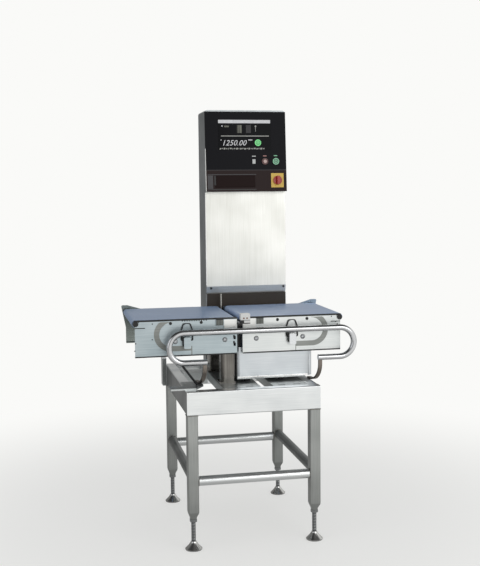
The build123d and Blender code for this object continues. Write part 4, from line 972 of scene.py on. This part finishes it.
# Rear door of the cabinet. Folded sheet on a foam seal, with three hinges, two
# quarter-turn locks and a field of pressed louvres for the air of the motor drives.
back_y = shell_high.y
for name, inset, bottom, top, behind, front, radius, segments, slot, material in (
        ("rear_door", 26, 790, 1500, 2.2, -0.2, 1.0, 3, "brushed_sheet", cabinet_sheet),
        ("rear_door_seal", 24.5, 788.5, 1501.5, 0.5, -0.4, 0.3, 2, "black_rubber", unit_rubber)):
    add_blocks(name, [
        ((shell_low.x + inset * mm, back_y + front * mm, bottom * mm),
         (shell_high.x - inset * mm, back_y + behind * mm, top * mm), radius * mm),
    ], material, segments)
hood = [(-1.0, -0.5), (-0.94, 0.36), (-0.8, 0.5), (0.8, 0.5), (0.94, 0.36), (1.0, -0.5)]
louvre = bmesh.new()
add_rings(louvre, [[(x, y, z * (1.0 - 0.15 * share)) for x, z in hood]
                   for share, y in ((0.0, 0.0), (0.5, 0.7), (1.0, 1.0))])
door_middle = (shell_low.x + shell_high.x) / 2
louvres = set_out("door_louvres", [
    (door_middle + x * mm, back_y + 1.8 * mm, z * mm) for x in (-48, 48) for z in range(1290, 1451, 16)
], pattern("louvre", louvre), (38 * mm, 4 * mm, 6 * mm), cabinet_sheet)
add_piece("rear_door_louvres", louvres, "machine", cabinet_sheet)
lock_head = turned_head("lock_head", [
    (1.0, 0.0), (1.0, 0.3), (0.94, 0.4), (0.62, 0.42), (0.6, 0.95), (0.55, 1.0)], 28)
screw_row("rear_door_locks", [(shell_low.x + 42 * mm, back_y + 1.8 * mm, z * mm) for z in (930, 1360)],
          11 * mm, 6 * mm, facing_back, cap_plastic, lock_head)
pins = bmesh.new()
pin_radius, pin_chamfer, pin_half = 4.4 * mm, 0.8 * mm, 24 * mm
for z in (860 * mm, 1145 * mm, 1430 * mm):
    add_turned(pins, [
        (pin_radius - pin_chamfer, z - pin_half), (pin_radius, z - pin_half + pin_chamfer),
        (pin_radius, z + pin_half - pin_chamfer), (pin_radius - pin_chamfer, z + pin_half),
    ], (shell_high.x - 22 * mm, back_y + 3.4 * mm, 0), 2, 20)
add_piece("rear_door_hinges", pins, "machine", screw_bright)


# Operator panel. A satin black plate, dark brown below its joint line, with a display
# window, two push keys, a small flap and the main switch.

def panel_film(name, upper, lower, split):
    """Printed polyester film on a plate: nearly black above the joint, brown below."""
    material, tree, shader, place = start_material(name, Specular_IOR_Level=0.05)
    height = add_node(tree, "ShaderNodeSeparateXYZ", {"Vector": place})
    above = add_node(tree, "ShaderNodeMath", {
        0: height.outputs["Z"], 1: split,
    }, operation="GREATER_THAN")
    grain = add_node(tree, "ShaderNodeTexNoise", {
        "Vector": place, "Scale": 1500.0, "Detail": 2.0,
    }).outputs[0]
    lay_finish(tree, shader, above.outputs[0], lower, upper, (grain, 0.0, 1.0, 0.28, 0.42),
               (grain, 0.03, 0.0001))
    return material


panel_low, panel_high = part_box("control_panel")
bezel_low, bezel_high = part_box("bezel")
split = panel_low.z + 83 * mm
dress(panel_film("printed panel film", "#19191C", "#322928", split), "bezel")
dress(panel_film("printed flap film", "#231817", "#231817", split), "media_flap")
dress(moulded("dark display window", "#0B0C10", "#08090B", 0.12, 200.0, 0.0, specular=0.05),
      "display_glass")
dress(moulded("red key plastic", "#5E302C", "#4A2523", 0.35), "stop_key")
green_key = moulded("green key plastic", "#234635", "#1B382A", 0.35)
dress(green_key, "start_key")
dress(moulded("yellow switch plate", "#DDBB4E", "#CDA93C", 0.35), "switch_plate")
dress(moulded("red switch handle", "#B0281A", "#941A12", 0.3), "switch_knob")

# Painted highlight on the panel's left side: a near-white polished strip, bent from the shell along its
# lean
film_thickness = 3 * mm
lean_y, lean_z = bezel_high.y - film_thickness - bezel_low.y, panel_high.z - panel_low.z
bm = bmesh.new()
add_rings(bm, [
    [(shell_low.x + x * mm, bezel_low.y + (rise * lean_y / lean_z + y) * mm, panel_low.z + rise * mm)
     for x, y in ((-1.0, -0.4), (1.2, -0.9), (1.2, 2.0), (-1.0, 2.0))]
    for rise in (1.0, 165.0)
])
add_piece("panel_edge_strip", bm, "machine", edge_bright)


# Marks of the panel. Everything printed on it or shown by it lies on its leaning face as
# thin flat marks, each a closed tile or disc a few tenths of a millimetre thick.

lean = Vector((0, lean_y, lean_z)).normalized()
outward = Vector((0, -lean.z, lean.y))


def on_panel(x, z, out):
    """The point of the panel's face at a width and a height, and so far in front of it."""
    foot = Vector((0, bezel_low.y, panel_low.z))
    return foot + lean * ((z * mm - foot.z) / lean.z) + Vector((x * mm, 0, 0)) + outward * (out * mm)


def add_tile(bm, x0, x1, z0, z1, top=0.35, base=-0.1, slant=0.0):
    """A thin flat mark on the panel's face."""
    shift = slant * (z1 - z0)
    corners = ((x0, z0), (x1, z0), (x1 + shift, z1), (x0 + shift, z1))
    add_rings(bm, [[on_panel(x, z, out) for x, z in corners] for out in (base, top)])


def add_disc(bm, x, z, radius, top=0.35, base=-0.1, inner=0.0, steps=40):
    """A thin disc on the panel's face, or a ring when an inner radius is given."""
    rims = [(radius, base), (radius, top)] + ([(inner, top), (inner, base)] if inner else [])
    turns = [2 * math.pi * i / steps for i in range(steps)]
    add_rings(bm, [[on_panel(x + r * math.cos(turn), z + r * math.sin(turn), out) for turn in turns]
                   for r, out in rims], joined=bool(inner))


def add_marks(name, material, tiles=(), discs=(), body="machine"):
    """One piece of tiles and discs, in millimetres."""
    bm = bmesh.new()
    for tile in tiles:
        add_tile(bm, *tile)
    for disc in discs:
        add_disc(bm, *disc)
    add_piece(name, bm, body, material)


def lit_plastic(name, colour, strength):
    """A segment of a display: printed film with a faint emission, a painted glow with no lamp behind it.
    """
    material, tree, shader, place = start_material(
        name, Roughness=0.5, Specular_IOR_Level=0.2, Emission_Strength=strength)
    cells = add_node(tree, "ShaderNodeTexNoise", {"Vector": place, "Scale": 90.0, "Detail": 2.0})
    bright = linear(colour)
    dim = [c * 0.72 for c in bright[:3]] + [1.0]
    tint = add_node(tree, "ShaderNodeMix", {
        "Factor": cells.outputs[0], "A": bright, "B": dim,
    }, data_type="RGBA")
    for socket in ("Base Color", "Emission Color"):
        tree.links.new(tint.outputs["Result"], shader.inputs[socket])
    return material


lit_white = lit_plastic("lit white display film", "#DADADC", 0.12)
lit_green = lit_plastic("lit green lamp film", "#83E392", 0.3)
inks = {
    ink: moulded(ink, colour, dark, 0.5) for ink, colour, dark in (
        ("pale grey screen print", "#B2B2AD", "#96968F"), ("dim grey screen print", "#77776B", "#55554B"),
        ("dark grey screen print", "#454345", "#373537"), ("white screen print", "#C9CBC9", "#B7B9B7"),
        ("faded red print", "#B98A85", "#A27670"), ("pale green print", "#8FCBA6", "#7DB894"))
}

# What the display shows: a bar, the reading, the lamp with its sign, and bars for text
add_marks("display_bar", lit_white, [
    (-15.5, 190.5, 1506.5, 1519.3), (102, 118, 1440.4, 1443.8),
], [(-0.6, 1495.5, 2.6), (-5.5, 1441.7, 1.8)])
figures = bpy.data.curves.new("reading", "FONT")
figures.body = "1250.00"
figures.shear = 0.32
figures.extrude = 0.01
figures.resolution_u = 3
shapes = settled_mesh(bpy.data.objects.new("reading", figures))
left, right = (limit(v.co.x for v in shapes.vertices) for limit in (min, max))
foot, head = (limit(v.co.y for v in shapes.vertices) for limit in (min, max))
for vert in shapes.vertices:
    across = (vert.co.x - left) / (right - left)
    rise = (vert.co.y - foot) / (head - foot)
    vert.co = on_panel(2 + 94 * across, 1420.5 + 21 * rise, 0.35 if vert.co.z > 0 else -0.1)
add_piece("display_reading", merged(shapes, 1e-7), "machine", lit_white, crease=30)
lamp_x, lamp_z = 140.2, 1431.4
add_marks("display_lamp", lit_green, discs=[(lamp_x, lamp_z, 12.6)])
add_marks("display_lamp_sign", green_key, [(139.3, 141.1, 1427, 1436, 0.55, 0.1)],
          [(lamp_x, lamp_z, 8.2, 0.55, 0.1, 6.6)])
text_bars = ((-12, 6), (-3, 3), (3, 7), (13, 4), (20, 3), (27, 8), (38, 3), (44, 5), (52, 7), (62, 3),
             (68, 6), (77, 4), (84, 8), (95, 3), (101, 6), (110, 4), (117, 3), (123, 7), (133, 5),
             (141, 4), (148, 8), (159, 6))
add_marks("display_print", inks["pale grey screen print"], [
    (-5.5, 184.5, 1455.6, 1458.8), (130.6, 132.2, 1474, 1494),
] + [
    (start, start + length, 1405.5 + 1.2 * (i % 2), 1410.5 + 0.6 * (i % 3), 0.35, -0.1, 0.2)
    for i, (start, length) in enumerate(text_bars)
], [(131.6, 1495, 3.2)])
add_marks("display_print_dim", inks["dim grey screen print"], [
    (58.6, 60.4, 1469, 1499.5), (62.5, 66, 1469, 1499.5), (68, 76.5, 1469, 1499.5), (8, 26, 1491, 1497),
])

# Frames of the panel and labels over the keys
add_marks("panel_frame_print", inks["dark grey screen print"], [
    (x0, x0 + 2.4, 1469, 1499.5) for x0 in range(94, 113, 4)
] + [
    (shell_low.x / mm + 1, shell_high.x / mm - 1, split / mm - 0.8, split / mm + 0.8, 0.15),
    (-62, 130, 1307.2, 1310, 0.5), (-62, 130, 1249.5, 1252, 0.5), (-62, -41, 1254, 1305.5, 0.2),
])
for label, slot, ink, tiles in (
        ("key", "white_plastic", "white screen print",
         [(116.5, 128.5, 1350.5, 1367.5), (115, 130, 1377.5, 1381)]),
        ("stop", "red_plastic", "faded red print", [(159, 173, 1378.5, 1382)]),
        ("start", "green_plastic", "pale green print", [(202, 216, 1379.5, 1383)])):
    add_marks(label + "_label_print", inks[ink], tiles)

# Faces of the two keys: a pale ring with its sign, inlaid flush, and they move with them
for key, colour in (("stop_key", "#C4ABA4"), ("start_key", "#9EE2B8")):
    top_edge = Vector((0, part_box(key)[0].y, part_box(key)[1].z))
    x, z = centre_of(key).x / mm, centre_of(key).z / mm
    rise = (top_edge - on_panel(x, top_edge.z / mm, 0)).dot(outward) / mm
    top, base = rise + 0.15, rise - 0.6
    tiles, discs = [], [(x, z, 6.5, top, base)]
    if key == "start_key":
        tiles = [(x - 1, x + 1, z - 4, z + 4, top, base)]
        discs = [(x, z, 12.4, top, base, 9.8), (x, z, 6.6, top, base, 4.9)]
    inlay = moulded(key.replace("_", " ") + " inlay", colour, colour, 0.4)
    add_marks(key + "_inlay", inlay, tiles, discs, key)

# Finger edge of the flap, which turns with it; it stays clear of the hinge
low, high = (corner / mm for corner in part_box("media_flap"))
add_marks("flap_edge", cap_plastic,
          [(low.x + 0.5, low.x + 7, low.z + 9, high.z - 1.5, 1.6, 0.2)], body="flap")


# Studio. A pale floor that runs into the backdrop, soft lamps, and the camera at the
# photograph's angle. Camera and glossy rays see the pale backdrop; the light itself is plain.

def fading(tree, fades):
    """The product of smooth fades, each a value, its range and its strength at both ends."""
    product = None
    for value, start, end, at_start, at_end in fades:
        fade = add_node(tree, "ShaderNodeMapRange", {
            "Value": value, "From Min": start, "From Max": end, "To Min": at_start, "To Max": at_end,
        }, interpolation_type="SMOOTHSTEP").outputs[0]
        product = fade if product is None else add_node(
            tree, "ShaderNodeMath", {0: product, 1: fade}, operation="MULTIPLY").outputs[0]
    return product


def backdrop_share(tree, nearness, dim):
    """How much of a ray's colour is the backdrop's own, and how bright the backdrop is for
    it: whole in reflections, where the room is dim in places as a real studio's is."""
    ray = add_node(tree, "ShaderNodeLightPath").outputs
    seen = ray["Is Camera Ray"]
    for kind in ("Is Glossy Ray", "Is Transmission Ray"):
        seen = add_node(tree, "ShaderNodeMath", {0: seen, 1: ray[kind]}, operation="MAXIMUM").outputs[0]
    whole = add_node(tree, "ShaderNodeMath", {0: nearness, 1: ray["Is Glossy Ray"]}, operation="MAXIMUM")
    share = add_node(tree, "ShaderNodeMath", {0: seen, 1: whole.outputs[0]}, operation="MULTIPLY")
    strength = add_node(tree, "ShaderNodeMix", {"Factor": ray["Is Glossy Ray"], "A": 1.0, "B": dim})
    return share.outputs[0], strength.outputs["Result"]


backdrop_colour = linear("#FAFAF8")
floor_mesh = bpy.data.meshes.new("floor")
reach = 14.0
floor_mesh.from_pydata([(-reach, -reach, 0), (reach, -reach, 0), (reach, reach, 0), (-reach, reach, 0)],
                       [], [(0, 1, 2, 3)])
floor = bpy.data.objects.new("floor", floor_mesh)
bpy.context.scene.collection.objects.link(floor)
floor_material, tree, shader, place = start_material(
    "pale studio floor", Base_Color=linear("#EFEFEC"), Roughness=0.7, Specular_IOR_Level=0.2)
distance = add_node(tree, "ShaderNodeVectorMath", {0: place}, operation="LENGTH").outputs["Value"]
away = add_node(tree, "ShaderNodeSeparateXYZ", {"Vector": place}).outputs
floor_dim = fading(tree, (
    (away["Y"], -0.5, 1.6, 1.0, 0.42), (away["X"], -2.0, 0.1, 0.5, 1.0),
    (distance, 0.4, 2.0, 0.45, 1.0)))
share, strength = backdrop_share(tree, fading(tree, ((distance, 0.6, 2.2, 0.5, 1.0),)), floor_dim)
glow = add_node(tree, "ShaderNodeEmission", {"Color": backdrop_colour, "Strength": strength})
blend = add_node(tree, "ShaderNodeMixShader", {0: share, 1: shader.outputs[0], 2: glow.outputs[0]})
output = [node for node in tree.nodes if node.type == "OUTPUT_MATERIAL"][0]
tree.links.new(blend.outputs[0], output.inputs["Surface"])
floor_mesh.materials.append(floor_material)
floor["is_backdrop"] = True

world = bpy.data.worlds.new("studio")
bpy.context.scene.world = world
world.use_nodes = True
tree = world.node_tree
tree.nodes.clear()
direction = add_node(tree, "ShaderNodeTexCoord").outputs["Generated"]
away = add_node(tree, "ShaderNodeSeparateXYZ", {"Vector": direction}).outputs
room_dim = fading(tree, (
    (away["Z"], 0.45, 0.75, 1.0, 0.1), (away["Y"], 0.0, 0.9, 1.0, 0.5),
    (away["X"], -0.35, 0.0, 0.4, 1.0)))
share, strength = backdrop_share(tree, 1.0, room_dim)
ambient = add_node(tree, "ShaderNodeBackground", {"Color": linear("#F6F7F9"), "Strength": 0.66})
backdrop = add_node(tree, "ShaderNodeBackground", {"Color": backdrop_colour, "Strength": strength})
mixed = add_node(tree, "ShaderNodeMixShader", {0: share, 1: ambient.outputs[0], 2: backdrop.outputs[0]})
add_node(tree, "ShaderNodeOutputWorld", {"Surface": mixed.outputs[0]})

for name, place, size, power, colour in (
        ("key", (2.2, -4.0, 2.4), (3.0, 2.4), 46.0, "#FFFFFF"),
        ("fill", (-3.6, -2.2, 1.8), (2.4, 2.6), 14.0, "#F4F7FF")):
    lamp = bpy.data.lights.new(name, "AREA")
    lamp.shape = "RECTANGLE"
    lamp.size, lamp.size_y = size
    lamp.energy = power
    lamp.color = linear(colour)[:3]
    holder = bpy.data.objects.new(name, lamp)
    bpy.context.scene.collection.objects.link(holder)
    holder.location = place
    aim = Vector((0, 0, 0.8)) - Vector(place)
    holder.rotation_euler = aim.to_track_quat("-Z", "Y").to_euler()

camera_data = bpy.data.cameras.new("camera")
camera = bpy.data.objects.new("camera", camera_data)
bpy.context.scene.collection.objects.link(camera)
yaw, pitch, roll = math.radians(11.62), math.radians(5.32), math.radians(-0.59)
forward = Vector((math.sin(yaw) * math.cos(pitch), math.cos(yaw) * math.cos(pitch), -math.sin(pitch)))
right = Vector((math.cos(yaw), -math.sin(yaw), 0))
up = right.cross(forward)
right, up = right * math.cos(roll) + up * math.sin(roll), up * math.cos(roll) - right * math.sin(roll)
turn = Matrix((right, up, -forward)).transposed()
camera.matrix_world = Matrix.Translation((-0.6917, -3.5124, 1.2346)) @ turn.to_4x4()
camera_data.lens = 60.97
camera_data.sensor_width = 36.0
camera_data.clip_end = 60.0
bpy.context.scene.camera = camera
bpy.context.scene.view_settings.view_transform = "Standard"

low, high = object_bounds()
